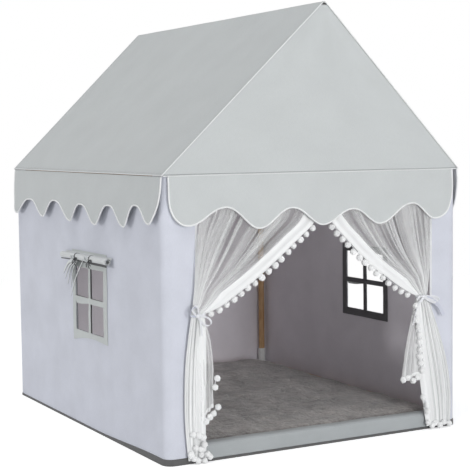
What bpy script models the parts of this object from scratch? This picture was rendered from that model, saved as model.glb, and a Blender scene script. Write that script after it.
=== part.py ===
"""Kids play tent: a wooden pole frame under a cloth house with door curtains, windows and roll-up blinds.

Metres, +Z up. The origin is on the ground under the middle of the tent, and the door faces -Y.
"""

import math

import bmesh
import bpy
from mathutils import Matrix, Vector

# Driving dimensions of the house
width = 1.08
depth = 1.284
eave_height = 0.861
ridge_height = 1.384
ridge_lean = 0.033
eave_overhang = 0.004
gable_lip = 0.002
cloth = 0.003
corner_radius = 0.03
door_width = 0.86

# Clearances
gap = 0.0003
pole_fit = 0.0004
overrun = 0.004

# Pole frame
pole_diameter = 0.024
sleeve_wall = 0.0023
sleeve_step = 0.0003
hub_wall = 0.0016
sleeve_past_pole = 0.03
pole_web = 0.003
sleeve_root = 0.003

# Floor
ground_sheet_thickness = 0.006
rim_height = 0.02
rim_proud = 0.002
rim_under_door = 0.008
sill_height = 0.056
sill_depth = 0.046
sill_round = 0.014
mat_thickness = 0.045
mat_crown = 0.004
mat_corner = 0.03
mat_pull_in = 0.008

# Valances
scallops_front = 4.5
scallops_side = 5.5
lobe_drop = 0.168
notch_drop = 0.104
valance_lean_degrees = 7
valance_end_flare = 0.0145
valance_ripple = 0.006
valance_end_round = 0.055
valance_end_drop = 0.055
valance_end_lift = 0.012
valance_short = 0.004
valance_seam = 0.0007

# Windows
window_width = 0.235
window_height = 0.215
window_below_eave = 0.427
window_middle_left = -0.072
window_middle_right = -0.112
window_binding = 0.028
window_top_binding = 0.056
window_bar = 0.016
binding_cloth = 0.002

# Roll-up blinds
blind_length = 0.39
blind_cloth = 0.0015
roll_cloth = 0.0018
roll_core_radius = 0.0035
roll_pitch = 0.0029
roll_turns = 2.3
roll_above_window = 0.145
ribbon_thickness = 0.0008
blind_ribbon_width = 0.006
blind_hem_width = 0.007
bow_spacing = 0.116
bow_loop_length = 0.022
bow_loop_height = 0.011
bow_knot = 0.0045
blind_bow_tilt_degrees = 30

# Door curtains
tie_height = 0.446
drape_cloth = 0.003
header_fold = 0.0035
drape_fold = 0.008
drape_fold_count = 7
drape_edge_clearance = 0.0015
bundle_depth = 0.018
bundle_fold = 0.003
bundle_edge_share = 0.08
fold_unevenness = 0.03
bundle_width_left = 0.044
bundle_width_right = 0.042
bundle_middle_left = 0.436
bundle_middle_right = 0.385
tail_floor_clearance = 0.012
tail_fold = 0.007
tail_fold_count = 4
tail_cloth = 0.006
under_layer_bottom = 0.17
under_layer_depth = 0.009
under_fold = 0.003
under_fold_count = 2
tail_trim_bottom = 0.222
tail_trim_top_left = 0.257
tail_trim_top_right = 0.408
tail_trim_out_left = 0.392
tail_trim_out_right = 0.358

# Ribbon ties of the curtains
tie_width = 0.005
tie_squareness = 2.6
tie_slack = 0.0009
tie_knot = 0.005
knot_share = 0.5
knot_proud_share = 0.62
tie_loop_length = 0.034
tie_loop_height = 0.014
inner_loop_share = 0.7
loop_droop = 0.25
tie_end_drop = 0.1
tie_end_width = 0.004

# Pom-pom trims
pompom_diameter = 0.021
pompom_spacing = 0.029
pompom_cord = 0.003
pompom_set_off = 0.0004
tail_pompom_diameter = 0.019

# Round pieces
pole_sides = 16
sleeve_sides = 14
arc_steps = 6
ball_tilt_degrees = 27

# Loose ends of a blind's two bows: along the roll and down, as shares of the bows' spacing
ribbon_tail_shares = {
    -1: ((0.5, 0.3), (0.9, 0.62)),
    1: ((0.95, 0.26), (0.72, 0.5)),
}

# Leading edge of each drape from the header to the tie: across as a share of half the door,
# up as a share of the way from the tie to the header
lead_shares = {
    -1: ((0.006, 1.0), (0.008, 0.55), (0.396, 0.293)),
    1: ((0.006, 1.0), (0.008, 0.584), (0.418, 0.29)),
}

# Edges of each tail and of its shorter layer from the tie down: across as a share of half the door
tail_outer_shares = {-1: (1.13, 1.14, 1.095), 1: (1.1, 1.22, 1.175)}
tail_inner_shares = {-1: (0.93, 0.98, 0.955), 1: (0.84, 0.88, 0.95)}
under_outer_shares = {-1: (1.0, 1.0, 1.0), 1: (0.88, 0.92, 0.94)}
under_inner_shares = {-1: (0.86, 0.9, 0.895), 1: (0.8, 0.745, 0.72)}

# Points along one scallop from its crest, as shares of its length
scallop_shares = (-0.41, -0.25, -0.09, 0, 0.09, 0.25, 0.41, 0.5)

# Worked out from the values above
half_width = width / 2
half_depth = depth / 2
half_door = door_width / 2
pole_radius = pole_diameter / 2
bore_radius = pole_radius + pole_fit
sleeve_radius = bore_radius + sleeve_wall
hub_radius = sleeve_radius + hub_wall

eave_x = half_width + eave_overhang
rise = ridge_height - eave_height
slope_length = math.hypot(eave_x, rise)
normal_x = rise / slope_length
normal_z = eave_x / slope_length
roof_angle = math.atan2(rise, eave_x)

corner_inset = (corner_radius - cloth - gap - hub_radius) / math.sqrt(2)
post_x = half_width - corner_radius + corner_inset
post_y = half_depth - corner_radius + corner_inset
frame_inset = cloth + gap + hub_radius
pole_stop = pole_radius / math.tan(roof_angle / 2) + pole_web
sleeve_length = pole_stop + sleeve_past_pole


def slope_height(x, inset):
    """Height over x of the plane that lies inset below the outside of the roof slope."""
    return eave_height + (-inset + (eave_x - x) * normal_x) / normal_z


def slope_reach(z, inset):
    """How far from the middle plane the plane inset below the roof slope lies at height z."""
    return eave_x + (-inset - (z - eave_height) * normal_z) / normal_x


eave_joint_z = slope_height(post_x, frame_inset)
ridge_joint_z = slope_height(0, frame_inset)
base_joint_z = ground_sheet_thickness + gap + hub_radius
ridge_joint_y = post_y + ridge_lean * (ridge_joint_z - eave_joint_z) / rise

valance_axis_z = eave_height - cloth * normal_z - valance_seam - cloth / 2 - gap
valance_out = valance_seam + cloth / 2
gable_bottom = valance_axis_z + cloth / 2 + gap
wall_bottom = rim_height + gap
side_wall_top = slope_height(half_width, cloth + gap)
end_wall_top = gable_bottom - gap

window_middle_height = eave_height - window_below_eave
roll_middle_height = window_middle_height + roll_above_window
window_face = half_width + gap + binding_cloth
sheet_face = window_face + gap + blind_cloth
roll_radius = roll_core_radius + roll_pitch * roll_turns + roll_cloth / 2
roll_x = sheet_face + gap + ribbon_thickness + gap + roll_radius

sill_bottom = rim_under_door + gap
mat_bottom = ground_sheet_thickness + gap
header_back = post_y + sleeve_radius + gap
drape_back = half_depth + gap
tail_back = half_depth + rim_proud + gap
neck_back = tail_back + ribbon_thickness + gap
ring_bottom = tie_height - tie_width / 2
tail_top = tie_height + tie_width / 2
drape_bottom = tail_top + gap

# By side, -1 left and 1 right: middle and width of the gathered cloth at the tie
bundle_sizes = {
    -1: (bundle_middle_left, bundle_width_left),
    1: (bundle_middle_right, bundle_width_right),
}

# How far out the pom-poms down a tail's edge hang, and how high they start
tail_trims = {
    -1: (tail_trim_out_left, tail_trim_top_left),
    1: (tail_trim_out_right, tail_trim_top_right),
}


def clear_scene():
    for obj in list(bpy.data.objects):
        bpy.data.objects.remove(obj, do_unlink=True)


def make_material(name, colour, roughness, metallic=0.0):
    material = bpy.data.materials.new(name)
    material.use_nodes = True
    shader = material.node_tree.nodes["Principled BSDF"]
    shader.inputs["Base Color"].default_value = (*colour, 1.0)
    shader.inputs["Roughness"].default_value = roughness
    shader.inputs["Metallic"].default_value = metallic
    return material


def finish_mesh(name, bm):
    """A mesh from bm with every face pointing out."""
    bmesh.ops.recalc_face_normals(bm, faces=bm.faces)
    mesh = bpy.data.meshes.new(name)
    bm.to_mesh(mesh)
    bm.free()
    return mesh


def place(name, mesh, material, parent=None, smooth=False):
    """A named object that holds the mesh, made in world coordinates, with its origin on its parent."""
    obj = bpy.data.objects.new(name, mesh)
    bpy.context.scene.collection.objects.link(obj)
    mesh.materials.clear()
    mesh.materials.append(material)
    if parent is not None:
        for vertex in mesh.vertices:
            vertex.co -= parent.location
        obj.parent = parent
    if smooth:
        mesh.shade_smooth()
        mesh.set_sharp_from_angle(angle=math.radians(40))
    return obj


def axis_empty(name, location):
    """The point that a moving piece turns about or slides from."""
    empty = bpy.data.objects.new(name, None)
    empty.location = location
    bpy.context.scene.collection.objects.link(empty)
    return empty


def solid_object(name, bm):
    """An unplaced object for the Boolean operations below."""
    obj = bpy.data.objects.new(name, finish_mesh(name, bm))
    bpy.context.scene.collection.objects.link(obj)
    return obj


def combine(first, second, operation):
    """The first object's mesh after a Boolean with the second, which is used up."""
    modifier = first.modifiers.new(operation.lower(), "BOOLEAN")
    modifier.operation = operation
    modifier.solver = "EXACT"
    modifier.object = second
    graph = bpy.context.evaluated_depsgraph_get()
    mesh = bpy.data.meshes.new_from_object(first.evaluated_get(graph))
    first.modifiers.clear()
    first.data = mesh
    bpy.data.objects.remove(second, do_unlink=True)
    return first


def take_mesh(obj):
    mesh = obj.data
    bpy.data.objects.remove(obj, do_unlink=True)
    return mesh


def cylinder(start, end, radius, sides=pole_sides):
    """A closed round bar from start to end."""
    bm = bmesh.new()
    run = end - start
    bmesh.ops.create_cone(
        bm, cap_ends=True, segments=sides, radius1=radius, radius2=radius, depth=run.length
    )
    turn = run.to_track_quat("Z", "Y").to_matrix().to_4x4()
    bmesh.ops.transform(bm, matrix=turn, verts=bm.verts)
    bmesh.ops.translate(bm, vec=(start + end) / 2, verts=bm.verts)
    return bm


def ball(centre, radius, sides, rings):
    """A round ball, turned so that its poles and seams face away from the pieces that join it."""
    bm = bmesh.new()
    bmesh.ops.create_uvsphere(bm, u_segments=sides, v_segments=rings, radius=radius)
    turn = Matrix.Rotation(math.radians(ball_tilt_degrees), 3, Vector((1, 2, 0)))
    bmesh.ops.rotate(bm, matrix=turn, verts=bm.verts)
    bmesh.ops.translate(bm, vec=centre, verts=bm.verts)
    return bm


def extrude_profile(points, offset):
    """A closed prism: the flat outline through the points, moved along offset."""
    bm = bmesh.new()
    face = bm.faces.new([bm.verts.new(p) for p in points])
    moved = bmesh.ops.extrude_face_region(bm, geom=[face])["geom"]
    verts = [item for item in moved if isinstance(item, bmesh.types.BMVert)]
    bmesh.ops.translate(bm, vec=offset, verts=verts)
    return bm


def box(low, high):
    low, high = Vector(low), Vector(high)
    corners = [(low.x, low.y, low.z), (high.x, low.y, low.z), (high.x, high.y, low.z), (low.x, high.y, low.z)]
    return extrude_profile(corners, Vector((0, 0, high.z - low.z)))


def cut_out_panel(us, vs, holes, at, thickness):
    """A flat panel on the grid of cut lines us by vs, without the cells in holes.

    at(u, v) gives a point of its first face, and thickness is the step to its other face.
    """
    bm = bmesh.new()
    grid = [[bm.verts.new(at(u, v)) for v in vs] for u in us]
    for i in range(len(us) - 1):
        for j in range(len(vs) - 1):
            if (i, j) not in holes:
                bm.faces.new((grid[i][j], grid[i + 1][j], grid[i + 1][j + 1], grid[i][j + 1]))
    bmesh.ops.delete(bm, geom=[v for v in bm.verts if not v.link_faces], context="VERTS")
    moved = bmesh.ops.extrude_face_region(bm, geom=list(bm.faces))["geom"]
    verts = [item for item in moved if isinstance(item, bmesh.types.BMVert)]
    bmesh.ops.translate(bm, vec=thickness, verts=verts)
    return bm


def loft_closed(front, back):
    """A closed solid between two grids with the same rows, whose first and last columns it joins.

    The rows of front and back may have different numbers of points.
    """
    bm = bmesh.new()
    front_verts = [[bm.verts.new(p) for p in row] for row in front]
    back_verts = [[bm.verts.new(p) for p in row] for row in back]
    for grid in (front_verts, back_verts):
        for upper, lower in zip(grid, grid[1:]):
            for i in range(len(upper) - 1):
                bm.faces.new((upper[i], upper[i + 1], lower[i + 1], lower[i]))
    for j in range(len(front) - 1):
        for i in (0, -1):
            bm.faces.new(
                (front_verts[j][i], front_verts[j + 1][i], back_verts[j + 1][i], back_verts[j][i])
            )
    for j in (0, -1):
        one, other = front_verts[j], back_verts[j]
        if len(one) == len(other):
            for i in range(len(one) - 1):
                bm.faces.new((one[i], one[i + 1], other[i + 1], other[i]))
        else:
            bm.faces.new(one + other[::-1])
    return bm


def arc(centre_x, centre_y, radius, start_degrees, end_degrees, steps=arc_steps):
    """Points along an arc, both ends included."""
    angles = [
        math.radians(start_degrees + (end_degrees - start_degrees) * i / steps) for i in range(steps + 1)
    ]
    return [(centre_x + radius * math.cos(a), centre_y + radius * math.sin(a)) for a in angles]


def rounded_rectangle(half_x, half_y, radius, middle_y=0.0):
    """Points round a rectangle with round corners, counterclockwise from its +X side."""
    inner_x, inner_y = half_x - radius, half_y - radius
    points = []
    for sign_x, sign_y, start in ((1, 1, 0), (-1, 1, 90), (-1, -1, 180), (1, -1, 270)):
        points += arc(sign_x * inner_x, middle_y + sign_y * inner_y, radius, start, start + 90)
    return points


def smooth_step(low, high, value):
    t = min(max((value - low) / (high - low), 0), 1)
    return t * t * (3 - 2 * t)


def mix(a, b, t):
    return a + (b - a) * t


def bezier(points, t):
    """A point of the cubic curve through the first and last of four control points."""
    s = 1 - t
    weights = (s * s * s, 3 * s * s * t, 3 * s * t * t, t * t * t)
    return sum((Vector(p) * w for p, w in zip(points, weights)), Vector((0, 0)))


def ribbon(points, across, ribbon_width, thickness, closed=False):
    """A flat ribbon along points, its width along the unit vector across."""
    bm = bmesh.new()
    count = len(points)
    rings = []
    for i, point in enumerate(points):
        if closed:
            run = points[(i + 1) % count] - points[i - 1]
        else:
            run = points[min(i + 1, count - 1)] - points[max(i - 1, 0)]
        out = run.cross(across).normalized() * (thickness / 2)
        side = across * (ribbon_width / 2)
        corners = (point + side + out, point + side - out, point - side - out, point - side + out)
        rings.append([bm.verts.new(corner) for corner in corners])
    pairs = list(zip(rings, rings[1:]))
    if closed:
        pairs.append((rings[-1], rings[0]))
    else:
        bm.faces.new(rings[0])
        bm.faces.new(rings[-1][::-1])
    for one, other in pairs:
        for k in range(4):
            bm.faces.new((one[k], one[(k + 1) % 4], other[(k + 1) % 4], other[k]))
    return bm


def loop_points(start, along, up, length, height, steps=7):
    """A bow's loop: a drop-shaped ring of points that begins and ends at start."""
    points = []
    for i in range(steps):
        angle = math.tau * i / steps
        swell = math.sin(angle) * math.sin(angle / 2)
        points.append(start + along * (length * (1 - math.cos(angle)) / 2) + up * (height * swell / 2))
    return points


def bead_string(path, bead_radius, cord_radius, hang, sides):
    """A cord along path with a ball hanging under it at each point, as one closed skin.

    hang is the unit vector from the cord to the middle of a ball.
    """
    bm = bmesh.new()
    rings = []
    for i, point in enumerate(path):
        run = (path[min(i + 1, len(path) - 1)] - path[max(i - 1, 0)]).normalized()
        out = run.cross(hang).normalized()
        down = out.cross(run)
        for polar in (22, 56, 90, 124, 158):
            along = -bead_radius * math.cos(math.radians(polar))
            radius = max(bead_radius * math.sin(math.radians(polar)), cord_radius)
            middle = point + run * along + down * (radius - cord_radius)
            ring = []
            for k in range(sides):
                angle = math.tau * k / sides
                offset = out * math.cos(angle) + down * math.sin(angle)
                ring.append(bm.verts.new(middle + offset * radius))
            rings.append(ring)
    for one, other in zip(rings, rings[1:]):
        for k in range(sides):
            bm.faces.new((one[k], one[(k + 1) % sides], other[(k + 1) % sides], other[k]))
    bm.faces.new(rings[0])
    bm.faces.new(rings[-1][::-1])
    return bm


def make_materials():
    return {
        "wood": make_material("pine_pole", (0.62, 0.42, 0.24), 0.55),
        "plastic": make_material("white_plastic", (0.82, 0.82, 0.8), 0.4),
        "roof": make_material("grey_roof_cloth", (0.47, 0.5, 0.5), 0.85),
        "wall": make_material("pale_wall_cloth", (0.6, 0.62, 0.7), 0.85),
        "binding": make_material("window_binding", (0.55, 0.57, 0.6), 0.85),
        "blind": make_material("grey_blind_cloth", (0.45, 0.48, 0.48), 0.85),
        "ribbon": make_material("grey_ribbon", (0.25, 0.27, 0.28), 0.7),
        "sheer": make_material("white_curtain", (0.85, 0.87, 0.86), 0.8),
        "pompom": make_material("white_pompom", (0.88, 0.88, 0.86), 0.95),
        "sheet": make_material("dark_ground_sheet", (0.12, 0.11, 0.1), 0.8),
        "sill": make_material("grey_sill_cloth", (0.44, 0.47, 0.47), 0.85),
        "mat": make_material("plush_mat", (0.2, 0.19, 0.18), 0.95),
    }


def pole(name, start, end, material):
    """A round pole between two joints, stopped short of each by the web inside the connector."""
    run = (end - start).normalized()
    bm = cylinder(start + run * pole_stop, end - run * pole_stop, pole_radius)
    return place(name, finish_mesh(name, bm), material, smooth=True)


def connector(name, centre, directions, material):
    """A moulded ball hub with one blind sleeve along each direction, each sleeve a little slimmer."""
    body = solid_object(name, ball(centre, hub_radius, 12, 6))
    for i, direction in enumerate(directions):
        root = centre - direction * sleeve_root
        tip = centre + direction * sleeve_length
        sleeve = cylinder(root, tip, sleeve_radius - sleeve_step * i, sleeve_sides)
        body = combine(body, solid_object(name + "_sleeve", sleeve), "UNION")
    for direction in directions:
        bore_start = centre + direction * (pole_stop - gap)
        bore_end = centre + direction * (sleeve_length + overrun)
        bore = cylinder(bore_start, bore_end, bore_radius, sleeve_sides)
        body = combine(body, solid_object(name + "_bore", bore), "DIFFERENCE")
    return place(name, take_mesh(body), material, smooth=True)


def corner_point(side, end, z):
    """The joint at one corner: side is -1 left or 1 right, end is -1 front or 1 rear."""
    return Vector((side * post_x, end * post_y, z))


def make_frame(materials):
    """Base rails, corner posts, eave rails, rafters and the ridge pole, with their connectors."""
    wood, plastic = materials["wood"], materials["plastic"]
    sides = {"left": -1, "right": 1}
    ends = {"front": -1, "rear": 1}
    up = Vector((0, 0, 1))
    for end_name, end in ends.items():
        ridge = Vector((0, end * ridge_joint_y, ridge_joint_z))
        to_rafters = []
        for side_name, side in sides.items():
            where = f"{end_name}_{side_name}"
            base = corner_point(side, end, base_joint_z)
            eave = corner_point(side, end, eave_joint_z)
            inward_x = Vector((-side, 0, 0))
            inward_y = Vector((0, -end, 0))
            up_rafter = (ridge - eave).normalized()
            to_rafters.append(-up_rafter)
            pole(f"post_{where}", base, eave, wood)
            pole(f"rafter_{where}", eave, ridge, wood)
            connector(f"base_connector_{where}", base, (up, inward_x, inward_y), plastic)
            connector(f"eave_connector_{where}", eave, (-up, inward_x, inward_y, up_rafter), plastic)
        connector(f"ridge_connector_{end_name}", ridge, (Vector((0, -end, 0)), *to_rafters), plastic)
        for level, z in (("base", base_joint_z), ("eave", eave_joint_z)):
            pole(f"{level}_rail_{end_name}", corner_point(-1, end, z), corner_point(1, end, z), wood)
    for side_name, side in sides.items():
        for level, z in (("base", base_joint_z), ("eave", eave_joint_z)):
            pole(f"{level}_rail_{side_name}", corner_point(side, -1, z), corner_point(side, 1, z), wood)
    ridge_ends = [Vector((0, end * ridge_joint_y, ridge_joint_z)) for end in (-1, 1)]
    pole("ridge_pole", *ridge_ends, wood)


def make_ground_sheet(materials):
    """The flat ground sheet, and the rim turned up along its edge, low where the door is."""
    half_x, half_y = half_width + rim_proud, half_depth + rim_proud
    outline = rounded_rectangle(half_x, half_y, corner_radius + rim_proud)
    flat = extrude_profile([(x, y, 0) for x, y in outline], Vector((0, 0, ground_sheet_thickness)))
    place("ground_sheet", finish_mesh("ground_sheet", flat), materials["sheet"])
    standing = extrude_profile([(x, y, mat_bottom) for x, y in outline], Vector((0, 0, rim_height - mat_bottom)))
    rim = solid_object("rim", standing)
    wall = rim_proud + cloth
    inner = rounded_rectangle(half_x - wall, half_y - wall, corner_radius + rim_proud - wall)
    inside = extrude_profile([(x, y, mat_bottom - overrun) for x, y in inner], Vector((0, 0, rim_height + overrun)))
    rim = combine(rim, solid_object("inside", inside), "DIFFERENCE")
    low = (-half_door, -half_y - overrun, rim_under_door)
    high = (half_door, -half_depth + cloth + overrun, rim_height + overrun)
    rim = combine(rim, solid_object("doorway", box(low, high)), "DIFFERENCE")
    place("ground_rim", take_mesh(rim), materials["sheet"])


def make_sill(materials):
    """The cloth sleeve over the front base rail, open underneath."""
    half_x = half_door - gap
    front, back = -half_depth, -half_depth + sill_depth
    inner_round = sill_round - cloth
    outer = [(front, sill_bottom)]
    outer += arc(front + sill_round, sill_height - sill_round, sill_round, 180, 90)
    outer += arc(back - sill_round, sill_height - sill_round, sill_round, 90, 0)
    outer += [(back, mat_bottom)]
    inner = [(back - cloth, mat_bottom)]
    inner += arc(back - sill_round, sill_height - sill_round, inner_round, 0, 90)
    inner += arc(front + sill_round, sill_height - sill_round, inner_round, 90, 180)
    inner += [(front + cloth, sill_bottom)]
    bm = extrude_profile([(-half_x, y, z) for y, z in outer + inner], Vector((2 * half_x, 0, 0)))
    place("door_sill", finish_mesh("door_sill", bm), materials["sill"], smooth=True)


def make_mat(materials):
    """The padded floor mat: a crowned pad whose sides pull in at the top and bottom."""
    half_x = post_x - hub_radius - gap
    front = -half_depth + sill_depth + gap
    rear = post_y - hub_radius - gap
    middle_y, half_y = (front + rear) / 2, (rear - front) / 2
    levels = (
        (mat_pull_in, 0.0),
        (0.0, 0.35),
        (0.0, 0.6),
        (mat_pull_in / 2, 0.86),
        (mat_pull_in * 2, 1.0),
    )
    rings = []
    for inset, height_share in levels:
        ring = rounded_rectangle(half_x - inset, half_y - inset, mat_corner, middle_y)
        rings.append([(x, y, mat_bottom + mat_thickness * height_share) for x, y in ring])
    for inset_share, crown_share in ((0.25, 0.75), (0.6, 1.0)):
        ring = rounded_rectangle(
            half_x * (1 - inset_share), half_y * (1 - inset_share), mat_corner, middle_y
        )
        rings.append([(x, y, mat_bottom + mat_thickness + mat_crown * crown_share) for x, y in ring])
    bm = bmesh.new()
    verts = [[bm.verts.new(p) for p in ring] for ring in rings]
    for lower, upper in zip(verts, verts[1:]):
        for i in range(len(lower)):
            j = (i + 1) % len(lower)
            bm.faces.new((lower[i], lower[j], upper[j], upper[i]))
    bm.faces.new(verts[0])
    bm.faces.new(verts[-1])
    place("floor_mat", finish_mesh("floor_mat", bm), materials["mat"], smooth=True)


def make_side_wall(name, side, window_middle, material):
    """A flat side wall with its square window hole."""
    half_y = half_depth - corner_radius - gap
    us = (
        -half_y,
        window_middle - window_width / 2,
        window_middle + window_width / 2,
        half_y,
    )
    vs = (
        wall_bottom,
        window_middle_height - window_height / 2,
        window_middle_height + window_height / 2,
        side_wall_top,
    )
    bm = cut_out_panel(
        us, vs, {(1, 1)}, lambda u, v: (side * half_width, u, v), Vector((-side * cloth, 0, 0))
    )
    place(name, finish_mesh(name, bm), material)


def corner_profile(side, end, outer):
    """The arc of the wall cloth round an upright corner, from the side wall to the end wall."""
    radius = corner_radius if outer else corner_radius - cloth
    centre_x, centre_y = half_width - corner_radius, half_depth - corner_radius
    return [(side * x, end * y) for x, y in arc(centre_x, centre_y, radius, 0, 90)]


def make_front_strip(name, side, material):
    """The front wall beside the door, carried round the corner to the side wall."""
    outline = corner_profile(side, -1, True)
    outline += [(side * half_door, -half_depth), (side * half_door, -half_depth + cloth)]
    outline += corner_profile(side, -1, False)[::-1]
    bm = extrude_profile(
        [(x, y, wall_bottom) for x, y in outline], Vector((0, 0, end_wall_top - wall_bottom))
    )
    place(name, finish_mesh(name, bm), material, smooth=True)


def make_rear_wall(material):
    outline = corner_profile(1, 1, True) + corner_profile(-1, 1, True)[::-1]
    outline += corner_profile(-1, 1, False) + corner_profile(1, 1, False)[::-1]
    bm = extrude_profile(
        [(x, y, wall_bottom) for x, y in outline], Vector((0, 0, end_wall_top - wall_bottom))
    )
    place("rear_wall", finish_mesh("rear_wall", bm), material, smooth=True)


def make_walls(materials):
    wall = materials["wall"]
    make_side_wall("left_wall", -1, window_middle_left, wall)
    make_side_wall("right_wall", 1, window_middle_right, wall)
    make_front_strip("front_strip_left", -1, wall)
    make_front_strip("front_strip_right", 1, wall)
    make_rear_wall(wall)


def make_roof_slope(name, side, material):
    """One taut roof slope, longer at the ridge than at the eave."""
    section = [
        (gap / 2, slope_height(gap / 2, 0)),
        (eave_x, eave_height),
        (eave_x - cloth * normal_x, eave_height - cloth * normal_z),
        (gap / 2, slope_height(gap / 2, cloth)),
    ]
    rows = []
    for end in (-1, 1):
        row = []
        for x, z in section:
            reach = half_depth + gable_lip + ridge_lean * (z - eave_height) / rise
            row.append((side * x, end * reach, z))
        rows.append(row)
    bm = bmesh.new()
    front, rear = ([bm.verts.new(p) for p in row] for row in rows)
    for i in range(4):
        j = (i + 1) % 4
        bm.faces.new((front[i], front[j], rear[j], rear[i]))
    bm.faces.new(front)
    bm.faces.new(rear[::-1])
    place(name, finish_mesh(name, bm), material)


def make_gable(name, end, material):
    """The triangle over an end wall, leaning out to the longer ridge."""
    inset = cloth + gap
    corners = [
        (-slope_reach(gable_bottom, inset), gable_bottom),
        (slope_reach(gable_bottom, inset), gable_bottom),
        (0, slope_height(0, inset)),
    ]
    outline = []
    for x, z in corners:
        lean = ridge_lean * (z - gable_bottom) / rise
        outline.append((x, end * (half_depth + lean), z))
    bm = extrude_profile(outline, Vector((0, -end * cloth, 0)))
    place(name, finish_mesh(name, bm), material)


def make_roof(materials):
    roof = materials["roof"]
    make_roof_slope("roof_slope_left", -1, roof)
    make_roof_slope("roof_slope_right", 1, roof)
    make_gable("gable_front", -1, roof)
    make_gable("gable_rear", 1, roof)


def valance_drop(a, half_span, pitch, crest_offset):
    """How far the scalloped edge hangs at the place a along the eave."""
    wave = 0.5 + 0.5 * math.cos(math.tau * (a - crest_offset) / pitch)
    lobe = lobe_drop - valance_end_lift * smooth_step(half_span - pitch, half_span, abs(a))
    drop = mix(lobe, notch_drop, wave)
    end_start = half_span - valance_end_round
    if abs(a) > end_start:
        t = min((abs(a) - end_start) / valance_end_round, 1)
        drop = mix(valance_end_drop, lobe, math.sqrt(1 - t * t))
    return drop


def make_valance(name, wall_half_span, wall_reach, pitches, to_world, material):
    """A scalloped flap that hangs from the eave, leaning out, with its ends curled further out.

    to_world(a, out, z) places a point that lies a along the eave and out from the tent's middle.
    """
    half_span = wall_half_span - valance_short
    pitch = 2 * wall_half_span / pitches
    crest_offset = 0 if math.floor(pitches) % 2 else pitch / 2
    rows = 3
    spots = [crest_offset + pitch * (i + share) for i in range(-4, 5) for share in scallop_shares]
    places = sorted(a for a in spots if abs(a) < half_span - valance_end_round)
    ends = [mix(places[-1], half_span, share) for share in (0.35, 0.65, 0.88, 1)]
    places = [-a for a in reversed(ends)] + places + ends
    axis_out = wall_reach + valance_out
    lean = math.tan(math.radians(valance_lean_degrees))
    outside, inside = [], []
    for j in range(rows + 1):
        outer_row, inner_row = [], []
        for a in places:
            drop = valance_drop(a, half_span, pitch, crest_offset) * j / rows
            hang = drop / lobe_drop
            curl = valance_end_flare * smooth_step(half_span - pitch / 2, half_span, abs(a))
            ripple = valance_ripple * math.cos(math.tau * (a - crest_offset) / pitch)
            out = axis_out + drop * lean + (curl + ripple) * hang * hang
            z = valance_axis_z + cloth / 2 - drop
            outer_row.append(to_world(a, out + cloth / 2, z))
            inner_row.append(to_world(a, out - cloth / 2, z))
        outside.append(outer_row)
        inside.append(inner_row)
    bm = loft_closed(outside, inside)
    axis = axis_empty(name + "_axis", to_world(0, axis_out, valance_axis_z))
    place(name, finish_mesh(name, bm), material, axis, smooth=True)


def make_valances(materials):
    roof = materials["roof"]
    for name, side in (("valance_left", -1), ("valance_right", 1)):
        make_valance(
            name,
            half_depth,
            half_width,
            scallops_side,
            lambda a, out, z, side=side: Vector((side * out, a, z)),
            roof,
        )
    for name, end in (("valance_front", -1), ("valance_rear", 1)):
        make_valance(
            name,
            half_width,
            half_depth,
            scallops_front,
            lambda a, out, z, end=end: Vector((a, end * out, z)),
            roof,
        )


def make_window_frame(name, side, middle, material):
    """The sewn binding round the window hole, with its two crossing bars and a deep top band."""
    half_hole, half_bar = window_width / 2, window_bar / 2
    bottom = window_middle_height - window_height / 2
    top = window_middle_height + window_height / 2
    us = (-half_hole - window_binding, -half_hole, -half_bar, half_bar, half_hole, half_hole + window_binding)
    vs = (
        bottom - window_binding,
        bottom,
        window_middle_height - half_bar,
        window_middle_height + half_bar,
        top,
        top + window_top_binding,
    )
    panes = {(1, 1), (1, 3), (3, 1), (3, 3)}
    face = side * (half_width + gap)
    bm = cut_out_panel(
        us, vs, panes, lambda u, v: (face, middle + u, v), Vector((side * binding_cloth, 0, 0))
    )
    place(name, finish_mesh(name, bm), material)


def spiral_radius(angle):
    return roll_core_radius + roll_pitch * angle / math.tau


def make_blind_roll(name, side, middle, axis, material):
    """The blind rolled up: a strip of cloth wound in a spiral, seen end on, and drawn out to its length."""
    steps = round(roll_turns * 14)
    angles = [math.tau * roll_turns * i / steps for i in range(steps + 1)]

    def edge(offset):
        points = []
        for angle in angles:
            radius = spiral_radius(angle) + offset
            points.append((radius * math.cos(angle), radius * math.sin(angle)))
        return points

    outline = edge(roll_cloth / 2) + edge(-roll_cloth / 2)[::-1]
    start_y = middle - blind_length / 2
    points = [(side * (roll_x + x), start_y, roll_middle_height + z) for x, z in outline]
    bm = extrude_profile(points, Vector((0, blind_length, 0)))
    place(name, finish_mesh(name, bm), material, axis, smooth=True)


def print_least_turn_gap():
    """Prints the least gap between neighbouring turns of the rolled cloth, measured on its points."""
    steps = 200
    turns = roll_turns - 1
    gaps = []
    for i in range(steps + 1):
        angle = math.tau * turns * i / steps
        inner = spiral_radius(angle) + roll_cloth / 2
        outer = spiral_radius(angle + math.tau) - roll_cloth / 2
        gaps.append(outer - inner)
    print(f"least gap between the turns of a rolled blind: {min(gaps) * 1000:.2f} mm")


def make_blind_sheet(name, side, middle, material):
    """The short stretch of blind from its seam over the window down to the roll."""
    top = window_middle_height + window_height / 2 + window_top_binding
    low = Vector((side * (sheet_face - blind_cloth), middle - blind_length / 2, roll_middle_height))
    high = Vector((side * sheet_face, middle + blind_length / 2, top))
    bm = box([min(a, b) for a, b in zip(low, high)], [max(a, b) for a, b in zip(low, high)])
    place(name, finish_mesh(name, bm), material)


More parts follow.
